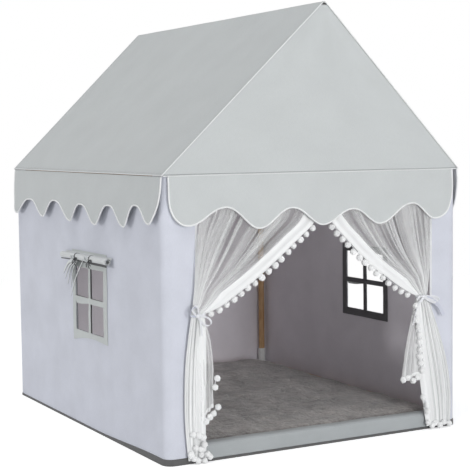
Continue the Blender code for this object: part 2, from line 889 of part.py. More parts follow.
def make_blind_ribbons(name, side, middle, axis, material):
    """The blind's hem along the foot of the roll, with its two ribbons tied in bows round the roll."""
    along = Vector((0, 1, 0))
    out = Vector((side, 0, 0))
    down = Vector((0, 0, -1))
    wrap_radius = roll_radius + gap + ribbon_thickness / 2
    centre = Vector((side * roll_x, middle, roll_middle_height))
    hem_z = roll_middle_height - wrap_radius
    hem_ends = [
        Vector((side * roll_x, middle + end * blind_length / 2, hem_z)) for end in (-1, 1)
    ]
    hem = ribbon(hem_ends, out, blind_hem_width, ribbon_thickness)
    body = solid_object(name, hem)
    for end in (-1, 1):
        knot_side = centre + along * (end * bow_spacing / 2)
        wrap = []
        for i in range(12):
            angle = math.tau * (i + 0.5) / 12
            wrap.append(knot_side + (out * math.cos(angle) + down * math.sin(angle)) * wrap_radius)
        body = combine(
            body,
            solid_object("wrap", ribbon(wrap, along, blind_ribbon_width, ribbon_thickness, True)),
            "UNION",
        )
        tilt = math.radians(blind_bow_tilt_degrees)
        knot_way = out * math.cos(tilt) + down * math.sin(tilt)
        knot = knot_side + knot_way * (roll_radius + gap + bow_knot)
        body = combine(body, solid_object("knot", ball(knot, bow_knot, 7, 4)), "UNION")
        for way in (-1, 1):
            loop = loop_points(knot, along * way, down, bow_loop_length, bow_loop_height)
            loop_ribbon = ribbon(loop, out, blind_ribbon_width * 0.7, ribbon_thickness, True)
            body = combine(body, solid_object("loop", loop_ribbon), "UNION")
        for run_share, drop_share in ribbon_tail_shares[end]:
            tail_end = knot + along * (bow_spacing * run_share) + down * (bow_spacing * drop_share)
            bend = mix(knot, tail_end, 0.5) + down * (bow_spacing * 0.06)
            tail = ribbon([knot, bend, tail_end], out, blind_ribbon_width * 0.5, ribbon_thickness)
            body = combine(body, solid_object("tail", tail), "UNION")
    place(name, take_mesh(body), material, axis)


def make_windows(materials):
    for side_name, side, middle in (("left", -1, window_middle_left), ("right", 1, window_middle_right)):
        make_window_frame(f"window_frame_{side_name}", side, middle, materials["binding"])
        axis = axis_empty(f"blind_{side_name}_axis", Vector((side * roll_x, middle, roll_middle_height)))
        make_blind_roll(f"blind_roll_{side_name}", side, middle, axis, materials["blind"])
        make_blind_sheet(f"blind_sheet_{side_name}", side, middle, materials["blind"])
        make_blind_ribbons(f"blind_ribbons_{side_name}", side, middle, axis, materials["ribbon"])


def bundle(side):
    """Inner and outer edge of the gathered cloth at the tie, measured from the door's middle."""
    middle, spread = bundle_sizes[side]
    return middle - spread / 2, middle + spread / 2


def layer_depths(u, thickness, fold, folds, roundness):
    """Depth of the back and the front of a layer at the share u of its width.

    roundness 0 is a flat layer with folds in front, and 1 is a gathered bundle.
    """
    arch = mix(1, mix(bundle_edge_share, 1, math.sqrt(1 - (2 * u - 1) ** 2)), roundness)
    wave = 0.5 - 0.5 * math.cos(math.tau * folds * (u + fold_unevenness * math.sin(math.tau * u)))
    return thickness * (1 - arch) / 2, thickness * (1 + arch) / 2 + fold * arch * wave


def curtain_row(side, point_at, back, thickness, fold, folds, roundness):
    """Front and back points of one row of a curtain; point_at(u) is (out, height)."""
    columns = folds * 4
    front_row, back_row = [], []
    for i in range(columns + 1):
        u = i / columns
        out, z = point_at(u)
        behind, ahead = layer_depths(u, thickness, fold, folds, roundness)
        front_row.append(Vector((side * out, -back - ahead, z)))
        if i % folds == 0:
            back_row.append(Vector((side * out, -back - behind, z)))
    return front_row, back_row


def lead_curve(side):
    points = [(half_door * a, mix(drape_bottom, end_wall_top, b)) for a, b in lead_shares[side]]
    return points + [(bundle(side)[0], drape_bottom)]


def make_drape(name, side, material):
    """The gathered curtain above its tie: fanned folds in front, smooth behind."""
    hem = half_door - drape_edge_clearance
    levels = [mix(end_wall_top, drape_bottom, share) for share in (0, 1 / 3, 2 / 3, 1)]
    outer = list(zip((hem, hem, hem, bundle(side)[1]), levels))
    rows = 12
    front, back = [], []
    for j in range(rows + 1):
        t = j / rows
        forward = smooth_step(0.05, 0.3, t)
        gathered = smooth_step(0.5, 1, t)
        behind = mix(mix(header_back, drape_back, forward), neck_back, gathered)
        thickness = mix(drape_cloth, bundle_depth - bundle_fold, gathered)
        fold = mix(mix(header_fold, drape_fold, forward), bundle_fold, gathered)

        def point_at(u, t=t):
            controls = [Vector(a).lerp(Vector(b), u) for a, b in zip(outer, lead_curve(side))]
            return bezier(controls, t)

        front_row, back_row = curtain_row(
            side, point_at, behind, thickness, fold, drape_fold_count, gathered
        )
        front.append(front_row)
        back.append(back_row)
    place(name, finish_mesh(name, loft_closed(front, back)), material, smooth=True)


def make_drape_trim(name, side, material):
    """The pom-poms along a drape's leading edge, from under the valance to just before the tie."""
    steps = 200
    samples = [bezier(lead_curve(side), i / steps) for i in range(steps + 1)]
    start_height = valance_axis_z - lobe_drop - pompom_diameter / 2
    stop_out = bundle(side)[0] - pompom_diameter
    kept = [p for p in samples if p.y < start_height and p.x < stop_out]
    places = [kept[0]]
    travelled = 0
    for before, after in zip(kept, kept[1:]):
        travelled += (after - before).length
        if travelled >= pompom_spacing:
            places.append(after)
            travelled = 0
    trim_y = -(drape_back + drape_cloth)
    path = []
    for i, point in enumerate(places):
        run = (places[min(i + 1, len(places) - 1)] - places[max(i - 1, 0)]).normalized()
        away = Vector((run.y, -run.x))
        away = away if away.y < 0 else -away
        spot = point + away * (gap + pompom_cord / 2 + pompom_set_off)
        path.append(Vector((side * spot.x, trim_y, spot.y)))
    bm = bead_string(path, pompom_diameter / 2, pompom_cord / 2, Vector((0, 0, -1)), 7)
    place(name, finish_mesh(name, bm), material, smooth=True)


def tail_panel(side, outer_shares, inner_shares, top, bottom, thickness, fold, folds, neck):
    """One layer of a tail, widening from the tie to its hem: folds in front, smooth behind."""
    inner, outer = bundle(side)
    inner_curve = [(inner, top)] + [(half_door * share, top) for share in inner_shares]
    outer_curve = [(outer, top)] + [(half_door * share, top) for share in outer_shares]
    rows = 10
    stops = [(i / rows, mix(top, bottom, i / rows)) for i in range(rows + 1)]
    if neck:
        stops = [(0, tail_top)] + stops
    front, back = [], []
    for t, z in stops:
        left, right = bezier(inner_curve, t).x, bezier(outer_curve, t).x
        roundness = 1 - smooth_step(0, 0.35, t) if neck else 0
        row_thickness = mix(thickness, bundle_depth - bundle_fold, roundness)
        row_fold = mix(fold, bundle_fold, roundness)
        behind = mix(tail_back, neck_back, roundness)
        front_row, back_row = curtain_row(
            side,
            lambda u, z=z, left=left, right=right: (mix(right, left, u), z),
            behind,
            row_thickness,
            row_fold,
            folds,
            roundness,
        )
        front.append(front_row)
        back.append(back_row)
    return loft_closed(front, back)


def fringe(side, start, end, count, y):
    """A row of pom-poms between two (out, height) points of a hem."""
    path = []
    for i in range(count):
        out, z = Vector(start).lerp(Vector(end), i / (count - 1))
        path.append(Vector((side * out, y, z)))
    return bead_string(path, tail_pompom_diameter / 2, pompom_cord / 2, Vector((0, -1, 0)), 6)


def make_tail(name, side, axis, material):
    """The curtain below its tie: a full panel, a shorter layer beside it, and their pom-pom trims."""
    outer_shares, inner_shares = tail_outer_shares[side], tail_inner_shares[side]
    panel = tail_panel(
        side,
        outer_shares,
        inner_shares,
        ring_bottom,
        tail_floor_clearance,
        tail_cloth,
        tail_fold,
        tail_fold_count,
        True,
    )
    body = solid_object(name, panel)
    inner, outer = under_inner_shares[side], under_outer_shares[side]
    top = ring_bottom - gap
    under = tail_panel(
        side, outer, inner, top, under_layer_bottom, under_layer_depth, under_fold, under_fold_count, False
    )
    body = combine(body, solid_object("under_layer", under), "UNION")
    hem_y = -tail_back - tail_cloth
    hem_z = tail_floor_clearance + tail_pompom_diameter / 4
    hem_start = (half_door * inner_shares[-1], hem_z)
    hem_end = (half_door * outer_shares[-1], hem_z)
    hem = fringe(side, hem_start, hem_end, 4, hem_y)
    body = combine(body, solid_object("hem", hem), "UNION")
    under_start = (half_door * inner[-1], under_layer_bottom)
    under_end = (half_door * outer[-1], under_layer_bottom)
    under_count = max(2, round((under_end[0] - under_start[0]) / pompom_spacing) + 1)
    under_hem = fringe(side, under_start, under_end, under_count, hem_y)
    body = combine(body, solid_object("under_hem", under_hem), "UNION")
    trim_out, trim_top = tail_trims[side]
    trim_y = -tail_back - under_layer_depth - under_fold / 2
    trim_count = round((trim_top - tail_trim_bottom) / pompom_spacing) + 1
    trim = fringe(side, (trim_out, trim_top), (trim_out, tail_trim_bottom), trim_count, trim_y)
    body = combine(body, solid_object("edge_trim", trim), "UNION")
    place(name, take_mesh(body), material, axis, smooth=True)


def make_tie(name, side, axis, material):
    """The ribbon round the gathered curtain, tied in a bow in front."""
    inner, outer = bundle(side)
    half_x = (outer - inner) / 2 + gap + ribbon_thickness / 2 + tie_slack
    half_y = bundle_depth / 2 + gap + ribbon_thickness / 2
    centre = Vector((side * (inner + outer) / 2, -neck_back - bundle_depth / 2, tie_height))
    steps = 22
    wrap = []
    for i in range(steps):
        c, s = math.cos(math.tau * i / steps), math.sin(math.tau * i / steps)
        swell = (abs(c) ** tie_squareness + abs(s) ** tie_squareness) ** (-1 / tie_squareness)
        wrap.append(centre + Vector((half_x * c * swell, half_y * s * swell, 0)))
    up = Vector((0, 0, 1))
    across = Vector((side, 0, 0))
    forward = Vector((0, -1, 0))
    body = solid_object(name, ribbon(wrap, up, tie_width - 2 * gap, ribbon_thickness, True))
    knot = centre + forward * (half_y + tie_knot * knot_proud_share) + across * (half_x * knot_share)
    body = combine(body, solid_object("knot", ball(knot, tie_knot, 8, 5)), "UNION")
    for way, length_share in ((-1, inner_loop_share), (1, 1)):
        run = (across * way - up * loop_droop).normalized()
        length = tie_loop_length * length_share
        loop = loop_points(knot, run, up, length, tie_loop_height)
        loop_ribbon = ribbon(loop, forward, tie_width, ribbon_thickness, True)
        body = combine(body, solid_object("loop", loop_ribbon), "UNION")
        tail_end = knot + across * (way * length) - up * tie_end_drop
        bend = mix(knot, tail_end, 0.4) + across * (way * tie_knot)
        loose_end = ribbon([knot, bend, tail_end], forward, tie_end_width, ribbon_thickness)
        body = combine(body, solid_object("loose_end", loose_end), "UNION")
    place(name, take_mesh(body), material, axis)


def make_curtains(materials):
    for side_name, side in (("left", -1), ("right", 1)):
        inner, outer = bundle(side)
        hinge = Vector((side * (inner + outer) / 2, -neck_back - bundle_depth, tail_top))
        axis = axis_empty(f"curtain_{side_name}_axis", hinge)
        make_drape(f"curtain_drape_{side_name}", side, materials["sheer"])
        make_drape_trim(f"pompom_trim_{side_name}", side, materials["pompom"])
        make_tail(f"curtain_tail_{side_name}", side, axis, materials["sheer"])
        make_tie(f"curtain_tie_{side_name}", side, axis, materials["sheer"])


def main():
    clear_scene()
    materials = make_materials()
    make_frame(materials)
    make_ground_sheet(materials)
    make_sill(materials)
    make_mat(materials)
    make_walls(materials)
    make_roof(materials)
    make_valances(materials)
    make_windows(materials)
    make_curtains(materials)
    print_least_turn_gap()


main()
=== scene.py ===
"""Kids play tent: cloth, curtains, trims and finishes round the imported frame.

Metres, +Z up. The door faces -Y, and the lengths repeat the ones that the solids are built from.
"""

import math

import bmesh
import bpy
import numpy as np
from mathutils import Matrix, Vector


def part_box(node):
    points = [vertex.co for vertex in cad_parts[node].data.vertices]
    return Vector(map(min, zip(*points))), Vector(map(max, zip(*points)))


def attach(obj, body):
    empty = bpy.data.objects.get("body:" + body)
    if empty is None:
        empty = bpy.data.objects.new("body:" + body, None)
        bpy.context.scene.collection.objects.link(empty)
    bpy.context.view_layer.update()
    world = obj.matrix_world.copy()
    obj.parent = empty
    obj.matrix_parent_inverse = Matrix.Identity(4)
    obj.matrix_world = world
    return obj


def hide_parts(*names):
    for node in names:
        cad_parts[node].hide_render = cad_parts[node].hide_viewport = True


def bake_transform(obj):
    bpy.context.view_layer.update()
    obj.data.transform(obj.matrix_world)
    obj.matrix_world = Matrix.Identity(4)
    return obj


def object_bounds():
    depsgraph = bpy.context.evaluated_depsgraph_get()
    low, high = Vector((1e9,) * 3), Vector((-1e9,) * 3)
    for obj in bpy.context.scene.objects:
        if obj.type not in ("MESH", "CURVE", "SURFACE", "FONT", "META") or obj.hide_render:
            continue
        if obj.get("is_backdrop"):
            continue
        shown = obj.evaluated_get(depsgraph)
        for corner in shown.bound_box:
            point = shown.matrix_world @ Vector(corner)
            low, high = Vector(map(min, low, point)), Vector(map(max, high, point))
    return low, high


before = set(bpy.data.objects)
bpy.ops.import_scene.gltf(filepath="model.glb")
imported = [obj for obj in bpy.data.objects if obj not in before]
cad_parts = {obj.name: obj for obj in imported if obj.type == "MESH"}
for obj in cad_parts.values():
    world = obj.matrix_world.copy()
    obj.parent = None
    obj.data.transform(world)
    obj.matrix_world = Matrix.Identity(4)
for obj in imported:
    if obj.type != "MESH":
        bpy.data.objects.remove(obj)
cad_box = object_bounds()

# House
width = 1.08
depth = 1.284
eave_height = 0.861
ridge_height = 1.384
ridge_lean = 0.033
eave_overhang = 0.004
gable_lip = 0.002
cloth = 0.003
corner_radius = 0.03
door_width = 0.86
gap = 0.0003

half_width = width / 2
half_depth = depth / 2
half_door = door_width / 2
eave_x = half_width + eave_overhang
rise = ridge_height - eave_height
slope_length = math.hypot(eave_x, rise)
normal_x = rise / slope_length
normal_z = eave_x / slope_length
valance_z = 0.8563373
valance_out = 0.0022
gable_bottom = valance_z + cloth / 2 + gap
wall_bottom = 0.0203
wall_top = gable_bottom - gap

# Cloth as sewn
roof_thickness = 0.0016
wall_thickness = 0.0012
roof_sag = 0.0035
ridge_round = 0.003
rake_hem = 0.009
piping_radius = 0.0026
welt_radius = 0.0012
rim_height = 0.02
door_rim_height = 0.008
sill_thickness = 0.0016
ribbon_thickness = 0.0006
# Material slots of a sheet's face, edge and back
one_cloth = (0, 0, 0)
lined_cloth = (0, 1, 0)

# Valances: place along the eave and drop of each lobe and crest in turn, then for each end its place,
# the drop where its round corner starts, and how square that corner is
side_scallops = (
    (-0.582, 0.141), (-0.479, 0.089), (-0.402, 0.158), (-0.276, 0.097), (-0.179, 0.163), (-0.044, 0.102),
    (0.038, 0.161), (0.198, 0.099), (0.299, 0.159), (0.44, 0.103), (0.579, 0.158),
)
end_scallops = (
    (-0.466, 0.145), (-0.34, 0.095), (-0.2275, 0.162), (-0.109, 0.104), (0.001, 0.16), (0.113, 0.115),
    (0.214, 0.165), (0.344, 0.105), (0.433, 0.157),
)
side_ends = ((-0.6382, 0.03, 1.6), (0.633, 0.05, 2.2))
end_ends = ((-0.523, 0.06, 2.2), (0.517, 0.04, 2.2))
side_point, end_point = 1.45, 1.1
lean = math.tan(math.radians(8))
ripple = 0.005
end_curl = 0.009
end_curl_width = 0.035
deepest_lobe = 0.165

# Windows and blinds
window_width = 0.235
window_height = 0.215
window_middle_z = 0.434
window_middles = {-1: -0.072, 1: -0.112}
window_binding = 0.028
window_top_binding = 0.056
window_bar = 0.016
half_hole = window_width / 2
half_bar = window_bar / 2
hole_bottom = window_middle_z - window_height / 2
hole_top = window_middle_z + window_height / 2
lining_border = 0.026
binding_thickness = 0.0011
lining_thickness = 0.0009
blind_length = 0.39
roll_z = 0.579
roll_x = 0.5566
roll_radius = 0.01107
roll_core = 0.0052
roll_turns = 2.6
rolled_cloth = 0.0008
blind_sheet_thickness = 0.0009
# Loose strands under each blind: start and end along the roll, fall, and width
fringe = (
    (0.088, 0.192, 0.052, 0.012),
    (0.073, 0.176, 0.068, 0.011),
    (0.06, 0.155, 0.084, 0.011),
    (0.048, 0.128, 0.094, 0.01),
    (0.0, 0.128, 0.126, 0.008),
    (0.066, 0.186, 0.04, 0.007),
)
strand_falls = {-1: 1.0, 1: 0.28}

# Door curtains
tie_height = 0.446
drape_bottom = 0.4488
ring_bottom = 0.4435
header_back = 0.63435
drape_back = 0.6423
tail_back = 0.6443
neck_back = 0.6454
bundle_depth = 0.018
bundles = {-1: (0.436, 0.044), 1: (0.385, 0.042)}
pleats = 7
curtain_cloth = 0.0007
curtain_foot = 0.012
# Share of the light that each part of the cloth stops
drape_stops, tail_stops, band_stops, hem_stops = 0.29, 0.5, 0.97, 0.9
curtain_hem_top = 0.036
# Points down each drape's leading edge: out from the door's middle, and height
lead_places = {
    -1: (
        (0.004, 0.857), (0.003, 0.79), (0.009, 0.73), (0.031, 0.698), (0.078, 0.661), (0.151, 0.603),
        (0.222, 0.55), (0.292, 0.506), (0.361, 0.467), (0.414, 0.4488),
    ),
    1: (
        (0.004, 0.857), (0.004, 0.79), (0.018, 0.735), (0.053, 0.688), (0.093, 0.649), (0.137, 0.606),
        (0.191, 0.559), (0.23, 0.53), (0.286, 0.491), (0.335, 0.462), (0.364, 0.4488),
    ),
}
lead_band = 0.058
tail_outer_shares = {-1: (1.13, 1.14, 1.095), 1: (1.1, 1.22, 1.175)}
tail_inner_shares = {-1: (0.93, 0.98, 0.955), 1: (0.84, 0.88, 0.95)}
under_outer_shares = {-1: (1.0, 1.0, 1.0), 1: (0.88, 0.92, 0.94)}
under_inner_shares = {-1: (0.86, 0.9, 0.895), 1: (0.8, 0.745, 0.72)}
# Ties: where the bow sits on the bundle, its loops (out, up, height, width, slot) and its ends
knot_shares = {-1: 0.35, 1: -0.1}
tie_loops = {
    -1: ((-0.041, -0.026, 0.022, 0.0062, 0), (0.02, 0.022, 0.03, 0.0058, 2), (0.012, 0.03, 0.018, 0.0085, 0)),
    1: ((0.058, -0.014, 0.013, 0.0095, 0), (-0.022, -0.01, 0.018, 0.0055, 0), (0.05, -0.02, 0.01, 0.009, 0)),
}
tie_tails = {
    -1: ((-0.014, 0.06, 0.0045, 0),),
    1: ((0.082, 0.066, 0.012, 2), (-0.042, 0.09, 0.0058, 0)),
}
pompom_radius = 0.0105
pompom_spacing = 0.029
side_names = {-1: "left", 1: "right"}
end_names = {-1: "front", 1: "rear"}
# Left, rear and right wall are numbers 1 to 3
wall_numbers = {-1: 1, 1: 3}
# Distance between the lines of a cloth's mesh
cloth_step = 0.0115


# Numbers


def smooth(low, high, value):
    t = np.clip((value - low) / (high - low), 0, 1)
    return t * t * (3 - 2 * t)


def mix(a, b, t):
    return a + (b - a) * t


def noise(seed, cell, u, v):
    """Smooth noise from -1 to 1 over the plane, with features of about one cell."""
    table = np.random.default_rng(seed).uniform(-1, 1, (64, 64))
    x, y = np.asarray(u) / cell + 17.3, np.asarray(v) / cell + 9.1
    x, y = np.broadcast_arrays(x, y)
    i, j = np.floor(x).astype(int), np.floor(y).astype(int)
    fx, fy = x - i, y - j
    fx, fy = fx * fx * (3 - 2 * fx), fy * fy * (3 - 2 * fy)
    low = mix(table[i % 64, j % 64], table[(i + 1) % 64, j % 64], fx)
    high = mix(table[i % 64, (j + 1) % 64], table[(i + 1) % 64, (j + 1) % 64], fx)
    return mix(low, high, fy)


def unit(vectors):
    return vectors / np.maximum(np.linalg.norm(vectors, axis=-1, keepdims=True), 1e-12)


def bezier(a, b, c, d, t):
    s = 1 - t
    return a * s**3 + 3 * b * s * s * t + 3 * c * s * t * t + d * t**3


def xyz(x, y, z):
    """Points from their coordinates, each an array or one number."""
    return np.stack(np.broadcast_arrays(x, y, z), axis=-1)


def circle_angles(steps):
    return np.linspace(0, math.tau, steps, endpoint=False)


def spline(points, steps):
    """A smooth path of steps points through all the given points."""
    p = np.asarray(points, float)
    p = np.vstack([2 * p[0] - p[1], p, 2 * p[-1] - p[-2]])
    out = []
    for where in np.linspace(0, len(p) - 3 - 1e-9, steps):
        i = int(where)
        t = where - i
        a, b, c, d = p[i], p[i + 1], p[i + 2], p[i + 3]
        curve = 2 * b + (c - a) * t + (2 * a - 5 * b + 4 * c - d) * t * t + (3 * b - a - 3 * c + d) * t**3
        out.append(0.5 * curve)
    return np.array(out)


def lengths_along(path):
    return np.concatenate([[0], np.cumsum(np.linalg.norm(np.diff(path, axis=0), axis=1))])


def at_lengths(path, places):
    """Points on a path at the given lengths along it."""
    lengths = lengths_along(path)
    return np.stack([np.interp(places, lengths, column) for column in np.transpose(path)], axis=1)


def spaced(path, step):
    """Points on a path at equal steps, and the way it runs at each."""
    path = np.asarray(path, float)
    total = lengths_along(path)[-1]
    points = at_lengths(path, np.linspace(0, total, max(2, int(round(total / step)) + 1)))
    return points, unit(np.gradient(points, axis=0))


def lines(low, high, step, fixed=()):
    """Sorted places from low to high about one step apart, with every fixed place among them."""
    stops = sorted({low, high, *fixed})
    out = [stops[0]]
    for a, b in zip(stops, stops[1:]):
        count = max(1, int(round((b - a) / step)))
        out += list(np.linspace(a, b, count + 1)[1:])
    return np.array(out)


def rounded_loop(half_x, half_y, radius, steps):
    """A path round a rectangle with round corners, which ends at its first point."""
    points = []
    for sx, sy, start in ((1, 1, 0), (-1, 1, 90), (-1, -1, 180), (1, -1, 270)):
        x, y = sx * (half_x - radius), sy * (half_y - radius)
        for turn in np.linspace(0, 90, steps):
            a = math.radians(start + turn)
            points.append((x + radius * math.cos(a), y + radius * math.sin(a), 0))
    return np.array(points + points[:1])


def ring_faces(rings, count):
    """Quads between rings of count points each, and the point after each one in its ring."""
    index = np.arange(rings * count).reshape(rings, count)
    after = np.roll(index, -1, 1)
    return index, after, np.stack([index[:-1], after[:-1], after[1:], index[1:]], axis=-1).reshape(-1, 4)


# Meshes


def add_object(name, data):
    obj = bpy.data.objects.new(name, data)
    bpy.context.scene.collection.objects.link(obj)
    return obj


def mesh_points(mesh):
    points = np.empty((len(mesh.vertices), 3))
    mesh.vertices.foreach_get("co", points.reshape(-1))
    return points


class Skin:
    """Collects the parts of one mesh, with a texture position in metres for every point."""

    def __init__(self):
        self.points, self.faces, self.uvs, self.slots = [], [], [], []
        self.count = 0
        self.marks = []

    def add(self, points, faces, uvs, slots=0, marks=0.0):
        points = np.asarray(points, float).reshape(-1, 3)
        self.points.append(points)
        self.uvs.append(np.asarray(uvs, float).reshape(-1, 2))
        self.marks.append(np.broadcast_to(np.asarray(marks, float).reshape(-1), (len(points),)))
        for block in faces if isinstance(faces, list) else [faces]:
            self.faces += (np.asarray(block) + self.count).tolist()
        total = sum(len(block) for block in faces) if isinstance(faces, list) else len(faces)
        self.slots += [slots] * total if np.isscalar(slots) else list(slots)
        self.count += len(points)

    def sheet(self, face, thickness, outward=1, keep=None, uv=None, slots=lined_cloth, marks=0.0):
        """A solid sheet: face is a grid of points, and the back lies a thickness behind it."""
        rows, columns = face.shape[:2]
        normal = unit(np.cross(np.gradient(face, axis=1), np.gradient(face, axis=0))) * outward
        back = face - normal * np.asarray(thickness)
        if uv is None:
            across = np.linalg.norm(np.diff(face, axis=1), axis=2).mean(axis=0)
            down = np.linalg.norm(np.diff(face, axis=0), axis=2).mean(axis=1)
            u, v = (np.concatenate([[0], np.cumsum(steps)]) for steps in (across, down))
            uv = np.stack(np.meshgrid(u, v), axis=-1)
        keep = np.ones((rows - 1, columns - 1), bool) if keep is None else keep
        index = np.arange(rows * columns).reshape(rows, columns)
        a, b = index[:-1, :-1][keep], index[:-1, 1:][keep]
        c, d = index[1:, 1:][keep], index[1:, :-1][keep]
        size = rows * columns
        front = np.stack([a, b, c, d], axis=1)
        rear = front[:, ::-1] + size
        edges = []
        padded = np.pad(keep, 1)
        for shift, one, two in (
            ((0, 1), index[:-1, :-1], index[:-1, 1:]),
            ((2, 1), index[1:, 1:], index[1:, :-1]),
            ((1, 0), index[1:, :-1], index[:-1, :-1]),
            ((1, 2), index[:-1, 1:], index[1:, 1:]),
        ):
            beyond = padded[shift[0] : shift[0] + rows - 1, shift[1] : shift[1] + columns - 1]
            rim = keep & ~beyond
            e, f = one[rim], two[rim]
            edges.append(np.stack([f, e, e + size, f + size], axis=1))
        faces = [front, rear, np.concatenate(edges)]
        if outward < 0:
            faces = [block[:, ::-1] for block in faces]
        used = np.unique(np.concatenate(faces))
        renumber = np.zeros(2 * size, int)
        renumber[used] = np.arange(len(used))
        faces = [renumber[block] for block in faces]
        points = np.concatenate([face.reshape(-1, 3), back.reshape(-1, 3)])[used]
        uvs = np.concatenate([uv.reshape(-1, 2)] * 2)[used]
        shared = np.broadcast_to(marks, (rows, columns)).reshape(-1)
        kinds = [slots[0]] * len(faces[0]) + [slots[1]] * len(faces[1]) + [slots[2]] * len(faces[2])
        self.add(points, faces, uvs, kinds, np.concatenate([shared, shared])[used])

    def sweep(self, path, profile, across=None, closed=False, slot=0):
        """Draws a closed outline along a path. profile is (K, 2), or one such outline per point."""
        path = np.asarray(path, float)
        count = len(path)
        run = unit(np.roll(path, -1, 0) - np.roll(path, 1, 0)) if closed else unit(np.gradient(path, axis=0))
        if across is None:
            side = np.cross(run[0], (0.31, 0.17, 0.93))
            sides = []
            for way in run:
                side = side - way * side.dot(way)
                side = side / np.linalg.norm(side)
                sides.append(side)
            side = np.array(sides)
        else:
            across = np.broadcast_to(np.asarray(across, float), path.shape)
            side = unit(across - run * (across * run).sum(1, keepdims=True))
        up = np.cross(side, run)
        profile = np.broadcast_to(profile, (count,) + np.shape(profile)[-2:])
        k = profile.shape[1]
        points = path[:, None] + side[:, None] * profile[:, :, :1] + up[:, None] * profile[:, :, 1:]
        uvs = np.stack(np.meshgrid(lengths_along(profile[0]), lengths_along(path)), axis=-1)
        index = np.arange(count * k).reshape(count, k)
        rows = np.arange(count if closed else count - 1)
        after = (rows + 1) % count
        nxt = np.roll(index, -1, 1)
        quads = np.stack([index[rows], nxt[rows], nxt[after], index[after]], axis=-1).reshape(-1, 4)
        faces = [quads]
        if not closed:
            faces += [index[0][::-1][None], index[-1][None]]
        self.add(points, faces, uvs, slot)

    def tube(self, path, radius, sides=8, slot=0):
        """A round cord. radius is one number or one for each point."""
        angles = circle_angles(sides)
        circle = np.stack([np.cos(angles), np.sin(angles)], axis=-1)
        radii = np.broadcast_to(np.asarray(radius, float), (len(path),))
        self.sweep(path, circle[None] * radii[:, None, None], slot=slot)

    def ribbon(self, path, across, ribbon_width, thickness, closed=False, slot=0):
        """A flat ribbon with soft edges, its width along across."""
        half = np.broadcast_to(np.asarray(ribbon_width, float), (len(path),))[:, None] / 2
        xs = np.array([-1, -0.92, -0.5, 0, 0.5, 0.92, 1, 0.92, 0.5, 0, -0.5, -0.92])
        ys = np.array([0, -1, -1, -1, -1, -1, 0, 1, 1, 1, 1, 1]) * thickness / 2
        profile = np.stack([xs[None] * half, np.broadcast_to(ys, (len(path), 12))], axis=-1)
        self.sweep(path, profile, across, closed, slot)

    def stitches(self, path, normal, slot=0, pitch=0.0042, length=0.003, thick=0.0007):
        """A line of raised stitches along a path."""
        centres, run = spaced(path, pitch)
        normal = np.broadcast_to(np.asarray(normal, float), centres.shape)
        out = unit(normal - run * (normal * run).sum(1, keepdims=True))
        side = np.cross(run, out)
        count = len(centres)
        axes = ((run, length), (side, thick), (out, thick))
        arms = [sign * way * size / 2 for way, size in axes for sign in (-1, 1)]
        points = np.stack([centres + arm for arm in arms], axis=1)
        upper = [[1, 3, 5], [3, 0, 5], [0, 2, 5], [2, 1, 5]]
        lower = [[3, 1, 4], [0, 3, 4], [2, 0, 4], [1, 2, 4]]
        shape = np.array(upper + lower)
        faces = (shape[None] + 6 * np.arange(count)[:, None, None]).reshape(-1, 3)
        self.add(points, faces, np.zeros((6 * count, 2)), slot)

    def make(self, name, materials, sharp=50):
        points = np.concatenate(self.points)
        mesh = bpy.data.meshes.new(name)
        mesh.from_pydata(points.tolist(), [], self.faces)
        uvs = np.concatenate(self.uvs)
        corners = np.empty(len(mesh.loops), int)
        mesh.loops.foreach_get("vertex_index", corners)
        layer = mesh.uv_layers.new(name="cloth")
        layer.data.foreach_set("uv", uvs[corners].reshape(-1))
        marks = mesh.attributes.new("mark", "FLOAT", "POINT")
        marks.data.foreach_set("value", np.concatenate(self.marks))
        for material in materials:
            mesh.materials.append(material)
        mesh.polygons.foreach_set("material_index", self.slots)
        mesh.polygons.foreach_set("use_smooth", [True] * len(mesh.polygons))
        mesh.set_sharp_from_angle(angle=math.radians(sharp))
        mesh.update()
        return add_object(name, mesh)


def pompom_template():
    """Points and triangles of a fine sphere."""
    bm = bmesh.new()
    bmesh.ops.create_icosphere(bm, subdivisions=4, radius=1)
    points = np.array([v.co[:] for v in bm.verts])
    faces = np.array([[v.index for v in f.verts] for f in bm.faces])
    bm.free()
    return points, faces


pompom_points, pompom_faces = pompom_template()


def add_pompom(skin, centre, radius, seed):
    """A ball of yarn ends: a fine sphere whose points stand out by different amounts."""
    rng = np.random.default_rng(seed)
    turn, _ = np.linalg.qr(rng.normal(size=(3, 3)))
    if np.linalg.det(turn) < 0:
        turn[:, 0] *= -1
    stand = rng.uniform(0.78, 1.0, len(pompom_points))
    tufts = rng.uniform(-1, 1, (14, 3))
    lump = np.cos(pompom_points @ unit(tufts).T * 4 + rng.uniform(0, 6, 14)).mean(axis=1)
    long_ends = rng.uniform(0, 1, len(pompom_points)) > 0.8
    stand = stand + lump * 0.16 + long_ends * rng.uniform(0.04, 0.2, len(pompom_points))
    points = (pompom_points * stand[:, None] * radius) @ turn.T + centre
    skin.add(points, pompom_faces, pompom_points[:, :2] * radius)


# Materials


